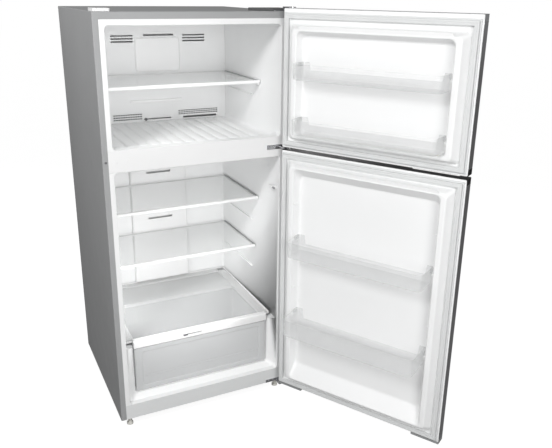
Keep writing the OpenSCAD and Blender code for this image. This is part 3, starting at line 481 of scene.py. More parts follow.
def freezer_liner():
    """Moulded freezer compartment: front lip, ramp down to a ribbed floor, shelf ledges."""
    back = FREEZER_STRIP.y1 - 2
    floor, ceiling = COVER.z0 - EDGE_GAP, COVER.z1 + EDGE_GAP
    lip = floor + 18
    edge_x, edge_z0, edge_z1 = FREEZER_STRIP.x1, lip - 2, FREEZER_STRIP.z1
    bm = bmesh.new()
    rings = [facing(2, -edge_x, edge_x, edge_z0, edge_z1, 1),
             facing(0.5, -edge_x, edge_x, edge_z0, edge_z1, 1),
             facing(0, 0.6 - edge_x, edge_x - 0.6, edge_z0 + 0.3, edge_z1 - 0.6, 1)]
    for y, out in ((0, 3.0), (0.4, 1.4), (1.4, 0.4), (3, 0)):
        rings.append(facing(y, -OPEN_X - out, OPEN_X + out, lip - min(out, 1.4), ceiling + out,
                            CORNER + out))
    for y, z in ((36, lip), (42, lip - 0.8), (48, lip - 4), (60, floor + 3), (66, floor + 0.7),
                 (74, floor), (back - 20, floor)):
        rings.append(facing(y, -OPEN_X, OPEN_X, z, ceiling, CORNER))
    rings.append(facing(back - 6, -OPEN_X + 5, OPEN_X - 5, floor + 5, ceiling - 5, CORNER))
    rings.append(facing(back, -OPEN_X + 20, OPEN_X - 20, floor + 20, ceiling - 20, CORNER))
    add_loft(bm, rings, start=False)
    pane = box_of("freezer_shelf_glass")
    add_ledges(bm, pane.z1, pane.y0 + 10, pane.y1 + 5)
    for spare in FREEZER_SPARES:
        add_ledges(bm, spare, SPARE_Y0, pane.y1 + 5, SPARE_LEDGE)
    rib_pitch, rib_y0, rib_y1, rib_half, rib_rise = 48, 112, 584, 19, 3.6
    for i in range(-6, 7):
        add_rib(bm, i * rib_pitch, rib_y0, rib_y1, floor - 0.5, rib_half, rib_rise)
    make_piece("freezer_liner_moulding", bm, LINER, "cabinet", ["freezer_liner"],
               sheet=1.5, inward=True, sharp=45)


def arch(y, half, z0, z1, r):
    """An open path from the left side over the top to the right side."""
    points = ([(-half, z0)] + arc(r - half, z1 - r, r, 180, 90) + arc(half - r, z1 - r, r, 90, 0)
              + [(half, z0)])
    return [Vector((x, y, z)) for x, z in points]


def cradle(y, half, z0, z1, r):
    """An open path from the left side round the bottom to the right side."""
    points = ([(-half, z1)] + arc(r - half, z0 + r, r, 180, 270)
              + arc(half - r, z0 + r, r, 270, 360) + [(half, z1)])
    return [Vector((x, y, z)) for x, z in points]


def fridge_liner():
    """Moulded fridge compartment: a tall space above the ledge and the drawer's space below."""
    back = FRIDGE_STRIP.y1 - 2
    edge_x, edge_z0, edge_z1 = FRIDGE_STRIP.x1, FRIDGE_STRIP.z0, FRIDGE_STRIP.z1
    floor, ceiling = edge_z0 + 2, edge_z1 - 2
    niche_x, niche_z = CRISPER_FRAME.x1 - 26, floor + 24
    mouth_y, niche_y, niche_back = 24, 40, 430
    outer = [(2, edge_x, 0), (0.5, edge_x, 0), (0, edge_x - 0.6, 0.3)]
    fold = [(0, 3.0), (0.4, 1.4), (1.4, 0.4), (3, 0)]
    bm = bmesh.new()
    upper = [arch(y, x, LEDGE_Z, edge_z1 - dz, 1) for y, x, dz in outer]
    upper += [arch(y, OPEN_X + out, LEDGE_Z, ceiling + min(out, 1.4), CORNER + out)
              for y, out in fold]
    upper += [arch(y, OPEN_X - shrink, LEDGE_Z, ceiling - shrink, CORNER)
              for y, shrink in ((mouth_y, 0), (back - 16, 0), (back - 5, 4), (back, 16))]
    rows = add_loft(bm, upper, start=False, end=False, closed=False)
    bm.faces.new(rows[-1])
    lower = [cradle(y, x, edge_z0 + dz, LEDGE_Z, 1) for y, x, dz in outer]
    lower += [cradle(y, OPEN_X + out, floor - min(out, 1.4), LEDGE_Z, CORNER + out)
              for y, out in fold]
    lower += [cradle(mouth_y, OPEN_X, floor, LEDGE_Z, CORNER),
              cradle(niche_y - 3, niche_x + 6, niche_z - 4, LEDGE_Z, CORNER),
              cradle(niche_y + 3, niche_x, niche_z, LEDGE_Z, CORNER),
              cradle(niche_back, niche_x, niche_z, LEDGE_Z, CORNER)]
    rows = add_loft(bm, lower, start=False, end=False, closed=False)
    bm.faces.new(rows[-1])
    for side in (-1, 1):
        add_quads(bm, [[(side * niche_x, niche_y, LEDGE_Z), (side * OPEN_X, mouth_y, LEDGE_Z),
                        (side * OPEN_X, back, LEDGE_Z), (side * niche_x, back, LEDGE_Z)]])
    add_quads(bm, [[(-niche_x, niche_back, LEDGE_Z), (niche_x, niche_back, LEDGE_Z),
                    (niche_x, back, LEDGE_Z), (-niche_x, back, LEDGE_Z)]])
    for level_name in ("upper_shelf", "lower_shelf"):
        pane = box_of(f"{level_name}_glass")
        add_ledges(bm, pane.z1, pane.y0 + 10, pane.y1 + 3)
    for spare in FRIDGE_SPARES:
        add_ledges(bm, spare, SPARE_Y0, pane.y1 + 3, SPARE_LEDGE)
    make_piece("fridge_liner_moulding", bm, LINER, "cabinet", ["fridge_liner"],
               sheet=1.5, inward=True, sharp=45)


def front_panels():
    """White front of the divider, and the panel below the fridge's sill."""
    for node, name, finish, slot in (
            ("mullion_cover", "divider_front", TRIM, "white_trim"),
            ("base_panel", "sill_panel", PANEL, "panel_white")):
        box = box_of(node)
        bm = bmesh.new()
        add_block(bm, box.x0, box.x1, box.y0, min(box.y1, box.y0 + 2), box.z0, box.z1, r=0.9,
                  segments=3)
        if node == "base_panel":
            add_block(bm, box.x0, box.x1, box.y0 + 0.4, box.y1, box.z0, box.z0 + 1.4, r=0.4)
        make_piece(name, bm, finish, "cabinet", [node])


def hole_plugs():
    """Low cap over the spare holes on top, plugs in the divider, and one in the steel flange."""
    top = box_of("cabinet_shell").z1
    plug_z = box_of("hinge_bracket_middle").z0 + 10
    bm = bmesh.new()
    cap = [(0.2, 0), (9, 0), (10.4, 0.7), (11, 2.2)]
    add_loft(bm, [level(top + z, -372 + i, -312 - i, 18 + i, 104 - i, 7 - i) for z, i in cap])
    for x in (-331, -287):
        add_rod(bm, (x, -2, plug_z), (x, -0.2, plug_z), 6, 20, 0.9)
    make_piece("spare_hole_covers", bm, TRIM, "cabinet", ["hole_plugs"])
    bm = bmesh.new()
    add_rod(bm, (-369, -2, plug_z), (-369, 2, plug_z), 4.5, 20, 0.9)
    make_piece("flange_plug", bm, MOTOR, "cabinet")


# ---- freezer interior ------------------------------------------------------------------------

def slots(x0, x1, z0, z1, rows, columns=1):
    """Slots in rows and columns, as holes for add_plate."""
    pitch_z = (z1 - z0) / rows
    pitch_x = (x1 - x0) / columns
    bar = 0.0 if columns == 1 else 1.2
    return [(x0 + j * pitch_x + bar, x0 + (j + 1) * pitch_x - bar,
             z0 + (i + 0.22) * pitch_z, z0 + (i + 0.72) * pitch_z)
            for i in range(rows) for j in range(columns)]


def add_louvres(bm, x0, x1, z0, z1, count, y):
    """Sloping blades behind a grille's slots."""
    pitch = (z1 - z0) / count
    for i in range(count):
        z = z0 + (i + 0.5) * pitch
        add_quads(bm, [[(x0 - 1, y, z - 0.48 * pitch), (x1 + 1, y, z - 0.48 * pitch),
                        (x1 + 1, y + 7, z - 0.1 * pitch), (x0 - 1, y + 7, z - 0.1 * pitch)]])


def evaporator_cover():
    """Cover across the freezer's back: grilles, a raised fan panel, a lip and the control's track."""
    y0 = COVER.y1 - 2.5
    y1 = COVER.y1
    grilles = [(-192, -95, 1524, 1562, 3, 1), (132, 238, 1524, 1562, 3, 1),
               (-203, -70, 1182, 1214, 3, 12), (101, 298, 1194, 1218, 3, 16)]
    knob = box_of("cold_control_knob")
    track_z = (knob.z0 + knob.z1) / 2
    holes = [(-48, 90, 1553, 1561), (125, 290, 1178, 1187),
             (-62, 66, track_z - 2.5, track_z + 2.5)]
    bm = bmesh.new()
    # sloping blades behind the grilles' slots, coloured dark grey as painted shade inside the slots
    for grille in grilles:
        holes += slots(*grille)
        add_louvres(bm, *grille[:5], y1)
    make_piece("grille_blades_painted_shade", bm, MOTOR, "cabinet")
    bm = bmesh.new()
    add_plate(bm, COVER.x0, COVER.x1, COVER.z0, COVER.z1, y0, y1, holes)
    make_piece("evaporator_cover_moulding", bm, COVER_WHITE, "cabinet",
               ["evaporator_cover"], round_off=0.4)
    bm = bmesh.new()
    raised = [(y0 - 0.1, 0), (y0 - 0.8, 0.5), (y0 - 4.4, 5), (y0 - 5.5, 6), (y0 - 6, 8)]
    add_loft(bm, [facing(y, -90 + i, 118 - i, 1396 + i, 1548 - i, 14 - 0.6 * i)
                  for y, i in raised])
    lip = [(y0 - 0.1, 1260), (y0 - 5, 1260.5), (y0 - 7, 1261.5), (y0 - 7.4, 1263),
           (y0 - 7.2, 1269), (y0 - 6.4, 1271), (y0 - 0.1, 1272.5)]
    add_bar_x(bm, lip, 120, 1.0)
    make_piece("fan_panel", bm, TRIM, "cabinet")


# ---- shelves ---------------------------------------------------------------------------------

def add_bar_x(bm, profile, half, inset=1.5):
    """Extrudes a (y, z) profile from -half to half with slightly rounded ends."""
    centre_y = sum(p[0] for p in profile) / len(profile)
    centre_z = sum(p[1] for p in profile) / len(profile)

    def ring(x, shrink):
        size = max(abs(p[0] - centre_y) for p in profile)
        k = 1 - shrink / size
        return [Vector((x, centre_y + (y - centre_y) * k, centre_z + (z - centre_z) * k))
                for y, z in profile]

    add_loft(bm, [ring(-half, inset), ring(-half + 0.3 * inset, 0.3 * inset),
                  ring(-half + inset, 0), ring(half - inset, 0),
                  ring(half - 0.3 * inset, 0.3 * inset), ring(half, inset)])


def shelf(level_name):
    """A glass shelf: a frame with a round front trim, the glass, and grey strips beside it as painted
    shadow.
    """
    frame_box = box_of(f"{level_name}_frame")
    pane = box_of(f"{level_name}_glass")
    x, y0, y1 = frame_box.x1, frame_box.y0, frame_box.y1
    top = pane.z1
    seat = (top - 10, pane.z0 - 0.1)
    trim, rail, lip, back = 14, 8, 2.5, 9
    bm = bmesh.new()
    add_bar_x(bm, rounded(y0, y0 + trim, frame_box.z0, frame_box.z1, trim / 2 - 0.3, 6), x)
    for side in (-1, 1):
        add_block(bm, *sorted((side * x, side * (x - rail))), y0 + trim - 2, y1, *seat, r=1.2)
    add_block(bm, -x, x, y1 - back, y1, *seat, r=1.2)
    add_block(bm, -x, x, y1 - lip, y1, pane.z0 - 1, top + 1, r=0.8)
    make_piece(f"{level_name}_trim", bm, TRIM, level_name, [f"{level_name}_frame"])
    # grey strips along the glass's sides: painted shadow of the gap between the glass and the side
    # wall
    bm = bmesh.new()
    for side in (-1, 1):
        add_block(bm, *sorted((side * x, side * (x - lip))), y0 + trim - 2, y1 - lip - 0.1,
                  pane.z0, top + 0.6, r=0.5)
    make_piece(f"{level_name}_painted_shadow_strips", bm, GREY_CAP, level_name)
    bm = bmesh.new()
    add_block(bm, pane.x0 + 1, pane.x1 - 1, pane.y0, pane.y1, pane.z0, top, r=1.2)
    make_piece(f"{level_name}_pane", bm, GLASS, level_name,
               [f"{level_name}_glass"])


# ---- fridge interior -------------------------------------------------------------------------

def air_duct():
    """Raised duct down the fridge's back wall with two outlet slots."""
    box = box_of("air_duct")
    edge = 7
    bm = bmesh.new()
    holes = [(-60, 58, z - 5, z + 5) for z in (923, 694)]
    add_plate(bm, box.x0 + edge, box.x1 - edge, box.z0 + edge, box.z1 - edge, box.y0,
              box.y0 + 2.5, holes)
    sides = [(box.y1, 0), (box.y0 + 5.5, 0.5), (box.y0 + 2.4, 1.8), (box.y0 + 0.7, 4),
             (box.y0, edge)]
    add_loft(bm, [facing(y, box.x0 + i, box.x1 - i, box.z0 + i, box.z1 - i, 0.4)
                  for y, i in sides], start=False, end=False)
    make_piece("air_duct_moulding", bm, TRIM, "cabinet", ["air_duct"])


def lamp_lens():
    """Frosted cover with shallow ribs under the fridge's ceiling."""
    box = box_of("lamp_lens")
    bm = bmesh.new()
    add_loft(bm, [level(box.z1, box.x0, box.x1, box.y0, box.y1, 6),
                  level(box.z0 + 5, box.x0, box.x1, box.y0, box.y1, 6),
                  level(box.z0 + 1.8, box.x0 + 1.6, box.x1 - 1.6, box.y0 + 1.6, box.y1 - 1.6, 5),
                  level(box.z0 + 0.6, box.x0 + 5, box.x1 - 5, box.y0 + 5, box.y1 - 5, 4)],
             start=False)
    count = 11
    for i in range(count):
        x = box.x0 + 10 + (box.x1 - box.x0 - 20) * i / (count - 1)
        add_rod(bm, (x, box.y0 + 7, box.z0 + 1.6), (x, box.y1 - 7, box.z0 + 1.6), 1.6, 10, 0.8)
    make_piece("lamp_lens_moulding", bm, FROSTED, "cabinet", ["lamp_lens"])


def crisper_cover():
    """Cover over the drawer: a framed pane, a front trim with the humidity slot, and painted shade
    behind the slot.
    """
    box = CRISPER_FRAME
    pane = box_of("crisper_cover_glass")
    top = pane.z1 + 1.5
    trim_x, trim_y = 302, 62
    rail_x, rail_y0, rail_y1, lip_x = 290, 82, 600, 326.2
    rail_z, lip_z = (box.z0 + 9.4, pane.z0 - 0.1), (pane.z0 - 1, top)
    bm = bmesh.new()
    for side in (-1, 1):
        add_block(bm, *sorted((side * box.x1, side * rail_x)), trim_y, box.y1, *rail_z, r=1.2)
        add_block(bm, *sorted((side * box.x1, side * lip_x)), trim_y, box.y1, *lip_z, r=1.0)
    add_block(bm, box.x0, box.x1, rail_y1, box.y1, *rail_z, r=1.2)
    add_block(bm, box.x0, box.x1, pane.y1 + 0.3, box.y1, *lip_z, r=1.0)
    add_block(bm, box.x0, box.x1, trim_y, rail_y0, *rail_z, r=1.2)
    add_block(bm, box.x0, box.x1, trim_y, pane.y0 - 0.3, *lip_z, r=1.0)
    # front trim: a fascia with the slot, its rounded nose and the body behind it
    slot_box = (-88, -4, LEDGE_Z + 1, LEDGE_Z + 8)
    add_plate(bm, -trim_x, trim_x, box.z0, box.z1 - 6, box.y0, box.y0 + 7, [slot_box])
    nose = arc(box.y0 + 6, box.z1 - 6, 6, 180, 90, 6)
    add_bar_x(bm, nose + [(trim_y, box.z1), (trim_y, box.z1 - 6)], trim_x, 1.0)
    for x0, x1 in ((-trim_x, slot_box[0] - 8), (slot_box[1] + 8, trim_x)):
        add_block(bm, x0, x1, box.y0 + 6, trim_y, box.z0 + 0.3, box.z1 - 5.8, r=0.5)
    make_piece("crisper_cover_moulding", bm, TRIM, "cabinet",
               ["crisper_cover_frame"], round_off=0.6)
    # a dark grey block behind the humidity slot: painted shade that makes the slot read dark
    bm = bmesh.new()
    add_block(bm, slot_box[0] - 7, slot_box[1] + 7, 53, 55.5, slot_box[2] - 3, slot_box[3] + 3,
              r=0.4)
    make_piece("humidity_slot_painted_shade", bm, MOTOR, "cabinet")
    bm = bmesh.new()
    add_block(bm, *pane, r=1.2)
    make_piece("crisper_cover_pane", bm, COVER_GLASS, "cabinet",
               ["crisper_cover_glass"])


def crisper_drawer():
    """Clear drawer: thin walls, a rim, runners and a front with a recessed panel and a fold."""
    box = box_of("crisper_drawer")
    bottom = box.z0 + 3.4
    front, wall = box.y0 + 4, 2.5
    bm = bmesh.new()

    def ring(z, inset, r):
        return level(z, box.x0 + inset, box.x1 - inset, front + inset, box.y1 - inset, r)

    add_loft(bm, [ring(bottom, 8, 6), ring(bottom + 2.5, 3.5, 8), ring(bottom + 8, 1.5, 10),
                  ring(box.z1 - 8, 0.6, 10), ring(box.z1 - 7, 0, 10), ring(box.z1 - 0.6, 0, 10),
                  ring(box.z1, 0.6, 10), ring(box.z1, wall, 8), ring(bottom + 9, 1.5 + wall, 8),
                  ring(bottom + 4, 4 + wall, 7), ring(bottom + wall, 9, 5)])
    for side in (-1, 1):
        runner = sorted((side * 262, side * 274))
        add_block(bm, *runner, box.y0 + 14, box.y1 - 20, box.z0, bottom + 0.5, r=1.5)
    # raised border round the front panel, its recess and the fold line across it
    border = [(front + 0.4, 0, 0), (box.y0 + 1.2, 0, 0), (box.y0 + 0.3, 0.8, 0.8),
              (box.y0, 2.5, 2.5), (box.y0, 29, 18), (box.y0 + 0.8, 31, 20),
              (box.y0 + 3.2, 33, 22), (box.y0 + 3.6, 36, 25)]
    add_loft(bm, [facing(y, box.x0 + ix, box.x1 - ix, bottom + iz, box.z1 - iz, 6)
                  for y, ix, iz in border], start=False)
    fold_z = bottom + 64
    add_rod(bm, (box.x0 + 38, box.y0 + 3.4, fold_z), (box.x1 - 38, box.y0 + 3.4, fold_z), 1.4, 10,
            0.7)
    make_piece("crisper_drawer_moulding", bm, DRAWER, "crisper",
               ["crisper_drawer"])


# ---- doors -----------------------------------------------------------------------------------

DOOR_BACK = box_of("freezer_door_gasket", closed=True).y0 - 0.2  # inner face of a closed door
RIM_FOOT = OPEN_X + 4                                            # half width of the moulded rim


def door_skin(door):
    """Steel outer skin of a door: front, rounded edges, sides and the folded inner return."""
    box = box_of(f"{door}_skin", closed=True)
    radius, inner = 6, 14
    outline = ([(box.x0 + inner, box.y1), (box.x0 + 1, box.y1), (box.x0, box.y1 - 1)]
               + arc(box.x0 + radius, box.y0 + radius, radius, 180, 270, 8)
               + arc(box.x1 - radius, box.y0 + radius, radius, 270, 360, 8)
               + [(box.x1, box.y1 - 1), (box.x1 - 1, box.y1), (box.x1 - inner, box.y1)])
    bm = bmesh.new()
    add_loft(bm, [[Vector((x, y, z)) for x, y in outline] for z in (box.z0, box.z1)],
             start=False, end=False, closed=False)
    make_piece(f"{door}_steel", bm, STEEL, door, [f"{door}_skin"], swung=True,
               sheet=0.8, sharp=50)


def door_liner(door, rim_low, rim_high, top_slope, bottom_slope, peg_levels):
    """Moulded inner panel of a door: a flat border, a rounded rim and the recess inside it.

    rim_low and rim_high are the border's widths below and above the rim.
    """
    box = box_of(f"{door}_liner", closed=True)
    face = DOOR_BACK
    low, high = box.z0 + rim_low, box.z1 - rim_high
    crest, crest_x = box.y1, RIM_FOOT - 17
    wall = 28
    inner_x = crest_x - wall + 4
    floor, floor_x = face - 8, inner_x - 6
    rings = [
        (face - 2, box.x1, box.z0, box.z1, 4), (face - 0.6, box.x1, box.z0, box.z1, 4),
        (face, box.x1 - 0.7, box.z0 + 0.7, box.z1 - 0.7, 4),
        (face, RIM_FOOT + 4, low - 4, high + 4, 12),
        (face + 1.2, RIM_FOOT + 1, low - 1, high + 1, 12),
        (face + 5, RIM_FOOT - 1, low + 1.5, high - 2, 12),
        (crest - 6, crest_x + 2.2, low + 7.5, high - 11, 16),
        (crest - 2, crest_x - 0.5, low + 10, high - 14, 18),
        (crest - 0.4, crest_x - 3.5, low + 13, high - 17, 18),
        (crest, crest_x - 7, low + 16, high - 20, 18),
        (crest, inner_x + 6, low + wall - 12, high - wall + 9, 20),
        (crest - 0.6, inner_x + 3, low + wall - 9, high - wall + 6, 20),
        (crest - 3.5, inner_x + 0.5, low + wall - 6, high - wall + 4, 20),
        (floor + 9, floor_x + 1, low + wall + bottom_slope - 9, high - wall - top_slope + 3, 22),
        (floor + 3, floor_x - 1.5, low + wall + bottom_slope - 1, high - wall - top_slope, 22),
        (floor + 0.6, floor_x - 6, low + wall + bottom_slope + 5, high - wall - top_slope - 5, 20),
        (floor, floor_x - 12, low + wall + bottom_slope + 12, high - wall - top_slope - 12, 18)]
    bm = bmesh.new()
    add_loft(bm, [facing(y, -x, x, z0, z1, r, 7) for y, x, z0, z1, r in rings], start=False)
    peg_tip, peg_roots = 296.5, ((face + 2, 299.5), (face + 22, 302.5))
    for side in (-1, 1):
        for z in peg_levels:
            for y, root in peg_roots:
                add_rod(bm, (side * peg_tip, y, z), (side * root, y, z), 4, 14, 1.0)
    make_piece(f"{door}_inner_panel", bm, LINER, door, [f"{door}_liner"],
               swung=True, sheet=1.5, sharp=45)


def door_gasket(door):
    """Magnetic seal: a flange and a narrower bulb with a pleat, mitred at its corners."""
    box = box_of(f"{door}_gasket", closed=True)
    back, front = box.y0, box.y1
    profile = [(1, back), (21, back), (21, back + 2.6), (22, back + 3.6), (22, back + 4.6),
               (18.6, back + 5.8), (22, back + 7), (22, front - 2.2), (21.2, front - 0.6),
               (19.5, front), (14.6, front), (13.8, front - 1.1), (12.4, front - 1.1),
               (11.6, front), (7.5, front), (5.8, front - 0.6), (5, front - 2.2),
               (5, back + 6.6), (7.4, back + 5.4), (4, back + 4.6), (1, back + 4.4),
               (0, back + 3.4), (0, back + 1)]
    bm = bmesh.new()
    add_frame(bm, profile, box.x0, box.x1, box.z0, box.z1)
    make_piece(f"{door}_seal", bm, SEAL, door, [f"{door}_gasket"], swung=True,
               sharp=30)


def grip_pocket(door, cap, plate_low):
    """Lining of the finger grip in a door's cap: its back, and a plate over the foam."""
    box = box_of(cap, closed=True)
    x0, x1, deep = box.x0 + 40, box.x0 + 220, box.y0 + 12.2
    plate_z = box.z0 + 0.3 if plate_low else box.z1 - 1.3
    bm = bmesh.new()
    add_block(bm, x0, x1, deep, deep + 1.4, box.z0 + 0.4, box.z1 - 0.4, r=0.3)
    add_block(bm, x0, x1, box.y0 + 0.9, deep + 1, plate_z, plate_z + 1, r=0.3)
    make_piece(f"{door}_grip_pocket", bm, BLACK_CAP, door, swung=True)


def door_bin(node, body):
    """Clear door bin: round front corners, a thicker rim, a low back wall and hooks."""
    box = box_of(node, closed=True)
    half, wall, dip = box.x1 - 5.5, 2.5, 30
    front_r, back_r = 24, 5

    def ring(z, inset, low_back=False):
        outline = rounded(-half + inset, half - inset, box.y0 + inset, box.y1 - inset,
                          (back_r, back_r, front_r - inset, front_r - inset), 6)
        edge = half - 30
        first = [(x, box.y0 + inset) for x in (-edge - 6, -edge, 0, edge, edge + 6)]
        outline = outline[:7] + first + outline[7:]
        return [Vector((x, y, min(z, box.z0 + dip) if low_back and abs(x) <= edge
                        and y < box.y0 + 4 else z)) for x, y in outline]

    bm = bmesh.new()
    add_loft(bm, [ring(box.z0, 5), ring(box.z0 + 1.4, 2.6), ring(box.z0 + 5, 1.4),
                  ring(box.z1 - 9, 0.8, True), ring(box.z1 - 8, 0, True),
                  ring(box.z1 - 0.8, 0, True), ring(box.z1, 0.8, True),
                  ring(box.z1, wall, True), ring(box.z0 + 6, 1.4 + wall),
                  ring(box.z0 + 3.4, 3.4 + wall), ring(box.z0 + wall, 6 + wall)])
    for side in (-1, 1):
        hook = sorted((side * (half - 1), side * box.x1))
        add_block(bm, *hook, box.y0 + 2, box.y0 + 33, box.z1 - 16, box.z1, r=1.6)
    make_piece(f"{node}_moulding", bm, CLEAR, body, [node], swung=True)


# ---- compressor compartment ------------------------------------------------------------------

def add_lathe(bm, centre, profile, sides=48):
    """Turns a profile of (radius, height) points round an upright axis."""
    rings = [[Vector((centre[0] + r * math.cos(2 * math.pi * i / sides),
                      centre[1] + r * math.sin(2 * math.pi * i / sides), z))
              for i in range(sides)] for r, z in profile]
    add_loft(bm, rings)


def compressor():
    """Hermetic compressor: a welded domed shell on a plate with rubber mounts, and its box."""
    box = box_of("compressor")
    cx = (box.x0 + box.x1) / 2
    cy = (box.y0 + box.y1) / 2
    plate_top = 62.5
    r, seam = 74, 77
    shell = [(r - 14, plate_top - 0.4), (r - 4, plate_top + 3), (r, plate_top + 12),
             (r, 91), (seam, 92.2), (seam, 96), (r - 0.4, 97.2)]
    shell += [(r * math.cos(a), 106 + r * math.sin(a))
              for a in (math.pi / 2 * i / 10 for i in range(10))]
    bm = bmesh.new()
    add_lathe(bm, (cx, cy), shell + [(2, box.z1)])
    add_block(bm, cx - 105, cx + 105, cy - 62, cy + 62, plate_top - 3.2, plate_top, r=1.2)
    for x in (-92, 92):
        for y in (-50, 50):
            grommet = [(12, 40.4), (12, 46), (9.5, 47.5), (9.5, 50), (12, 51.5), (12, 58.8)]
            add_lathe(bm, (cx + x, cy + y), grommet, 24)
            add_rod(bm, (cx + x, cy + y, 50), (cx + x, cy + y, 66), 4.6, 16, 1.0)
    add_block(bm, cx + 68, cx + 96, cy - 30, cy + 30, 84, 132, r=3, segments=3)
    make_piece("compressor_shell", bm, ENAMEL, "cabinet", ["compressor"],
               sharp=45)


# ---- assembly --------------------------------------------------------------------------------

cabinet_wrap()
back_panel()
freezer_liner()
fridge_liner()
front_panels()
hole_plugs()
evaporator_cover()
for name in ("freezer_shelf", "upper_shelf", "lower_shelf"):
    shelf(name)
air_duct()
lamp_lens()
crisper_cover()
crisper_drawer()
for door, *shape in (("freezer_door", 39, 57, 10, 0, (1474, 1264)),
                     ("fridge_door", 45, 39, 26, 48, (773, 430, 560, 930))):
    door_skin(door)
    door_liner(door, *shape)
    door_gasket(door)
for node, body in (("freezer_bin_upper", "freezer_bin_a"), ("freezer_bin_lower", "freezer_bin_b"),
                   ("fridge_bin_upper", "fridge_bin_a"), ("fridge_bin_lower", "fridge_bin_b")):
    door_bin(node, body)
grip_pocket("freezer_door", "freezer_door_bottom_cap", False)
grip_pocket("fridge_door", "fridge_door_top_cap", True)
compressor()

for node, finish, width in (
        ("base_frame", BLACK_STEEL, 0.0), ("cabinet_foam", FOAM, 0.0),
        ("evaporator", FINS, 0.0),
        ("evaporator_fan_motor", MOTOR, 0.8), ("evaporator_fan", MOTOR, 0.5),
        ("cold_control_knob", MOTOR, 0.5), ("light_switch_housing", TRIM, 1.0),
        ("light_switch_plunger", GREY_CAP, 0.6), ("humidity_slider", MOTOR, 0.8),
        ("hinge_bracket_top", HINGE_STEEL, 0.4), ("hinge_bracket_middle", HINGE_STEEL, 0.4),
        ("hinge_bracket_bottom", HINGE_STEEL, 0.4), ("pivot_pins", HINGE_STEEL, 0.6),
        ("hinge_cover", DARK_CAP, 1.0), ("hinge_screws", HINGE_STEEL, 0.25),
        ("drip_tray", BLACK_CAP, 0.8), ("refrigerant_lines", COPPER, 0.0),
        ("power_inlet", BLACK_CAP, 0.8), ("foot_left", NYLON, 0.8), ("foot_right", NYLON, 0.8),
        ("roller_left", NYLON, 0.8), ("roller_right", NYLON, 0.8),
        ("freezer_door_foam", FOAM, 0.0), ("fridge_door_foam", FOAM, 0.0),
        ("freezer_door_top_cap", GREY_CAP, 1.2), ("freezer_door_bottom_cap", BLACK_CAP, 1.2),
        ("fridge_door_top_cap", BLACK_CAP, 1.2), ("fridge_door_bottom_cap", GREY_CAP, 1.2),
        ("freezer_door_bushes", NYLON, 0.4), ("fridge_door_bushes", NYLON, 0.4)):
    dress(node, finish, width)


# ---- floor, light and camera -----------------------------------------------------------------

def stage_floor():
    """A plain floor far wider than the view. It glows for the camera alone, to read as white."""
    half = 30.0
    mesh = bpy.data.meshes.new("floor")
    mesh.from_pydata([(-half, -half, 0), (half, -half, 0), (half, half, 0), (-half, half, 0)], [],
                     [(0, 1, 2, 3)])
    white = material("pale_floor", (0.45, 0.45, 0.45), 0.6, shade=0.004, patch=0.4, grain=60.0,
                     bump=0.02, specular=0.1)
    shader = white.node_tree.nodes["Principled BSDF"]
    shader.inputs["Emission Color"].default_value = (1, 1, 1, 1)
    seen = node_at(white.node_tree, "ShaderNodeLightPath").outputs["Is Camera Ray"]
    glow = node_at(white.node_tree, "ShaderNodeMapRange", {"To Min": 0.0, "To Max": 0.93})
    white.node_tree.links.new(seen, glow.inputs["Value"])
    white.node_tree.links.new(glow.outputs["Result"], shader.inputs["Emission Strength"])
    mesh.materials.append(white)
    floor = bpy.data.objects.new("floor", mesh)
    bpy.context.scene.collection.objects.link(floor)


def add_light(name, place, target, size, power):
    """A soft light of a given width and height that faces a target."""
    lamp = bpy.data.lights.new(name, "AREA")
    lamp.shape = "RECTANGLE"
    lamp.size, lamp.size_y = size
    lamp.energy = power
    light = bpy.data.objects.new(name, lamp)
    light.location = place
    light.rotation_euler = (Vector(target) - Vector(place)).to_track_quat("-Z", "Y").to_euler()
    bpy.context.scene.collection.objects.link(light)


# each light's name, place, target, width and height, and power
STUDIO_LIGHTS = (
    ("front", (-0.25, -3.8, 1.5), (0.05, 0.2, 0.85), (1.6, 1.6), 55),
    ("key", (-2.0, -1.7, 2.95), (0.25, -0.1, 0.9), (0.7, 0.7), 53),
    ("low_key", (-0.9, -2.2, 1.0), (0.6, -0.4, 0.8), (0.8, 0.8), 5),
    ("side", (-1.5, 0.5, 1.95), (-0.38, 0.35, 1.2), (0.6, 0.6), 4.5),
    ("rear", (1.9, 3.3, 1.1), (0.1, 0.5, 0.9), (1.8, 1.0), 48))
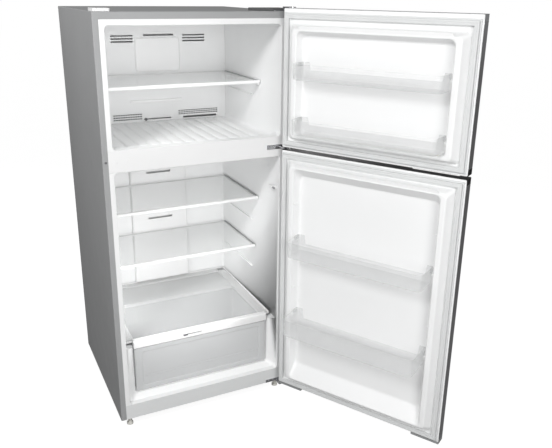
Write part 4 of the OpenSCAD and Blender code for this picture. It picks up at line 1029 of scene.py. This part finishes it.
# stand-ins for light off the white walls: two face a back wall, one a side wall, one the drawer
INNER_LIGHTS = (
    ("fridge_inside", (-0.08, -0.02, 0.64), (-0.08, 1, 0.64), (0.42, 0.54), 1.1),
    ("fridge_low_wall", (-0.31, 0.3, 0.52), (0.33, 0.3, 0.5), (0.3, 0.26), 0.6),
    ("drawer_inside", (0, 0.25, 0.345), (0, 0.25, 0), (0.5, 0.3), 0.3),
    ("freezer_inside", (-0.1, -0.02, 1.42), (-0.1, 1, 1.42), (0.36, 0.36), 0.5))


def stage_light():
    """A white backdrop that lights dimly, and the studio's and the compartments' lights."""
    world = bpy.data.worlds.new("studio")
    world.use_nodes = True
    tree = world.node_tree
    backdrop = tree.nodes["Background"]
    backdrop.inputs["Color"].default_value = (1, 1, 1, 1)
    seen = node_at(tree, "ShaderNodeLightPath").outputs["Is Camera Ray"]
    strength = node_at(tree, "ShaderNodeMapRange", {"To Min": 0.3, "To Max": 1.0})
    tree.links.new(seen, strength.inputs["Value"])
    tree.links.new(strength.outputs["Result"], backdrop.inputs["Strength"])
    bpy.context.scene.world = world
    bpy.context.scene.view_settings.view_transform = "Standard"
    for light in STUDIO_LIGHTS + INNER_LIGHTS:
        add_light(*light)


def stage_camera():
    """The camera at the photograph's place and angle."""
    yaw, pitch, roll = math.radians(26.44), math.radians(-18.79), math.radians(0.77)
    place = Vector((-0.84097, -2.35275, 1.7526))
    forward = Vector((math.sin(yaw) * math.cos(pitch), math.cos(yaw) * math.cos(pitch),
                      math.sin(pitch)))
    right = Vector((math.cos(yaw), -math.sin(yaw), 0))
    up = right.cross(forward)
    turned_right = right * math.cos(roll) + up * math.sin(roll)
    turned_up = up * math.cos(roll) - right * math.sin(roll)
    lens = bpy.data.cameras.new("camera")
    lens.sensor_width = 36.0
    lens.lens = 42.75
    lens.shift_x = -0.00112
    lens.shift_y = -0.01976
    lens.clip_end = 100.0
    camera = bpy.data.objects.new("camera", lens)
    camera.matrix_world = Matrix((
        (turned_right.x, turned_up.x, -forward.x, place.x),
        (turned_right.y, turned_up.y, -forward.y, place.y),
        (turned_right.z, turned_up.z, -forward.z, place.z),
        (0, 0, 0, 1)))
    bpy.context.scene.collection.objects.link(camera)
    bpy.context.scene.camera = camera


stage_floor()
stage_light()
stage_camera()
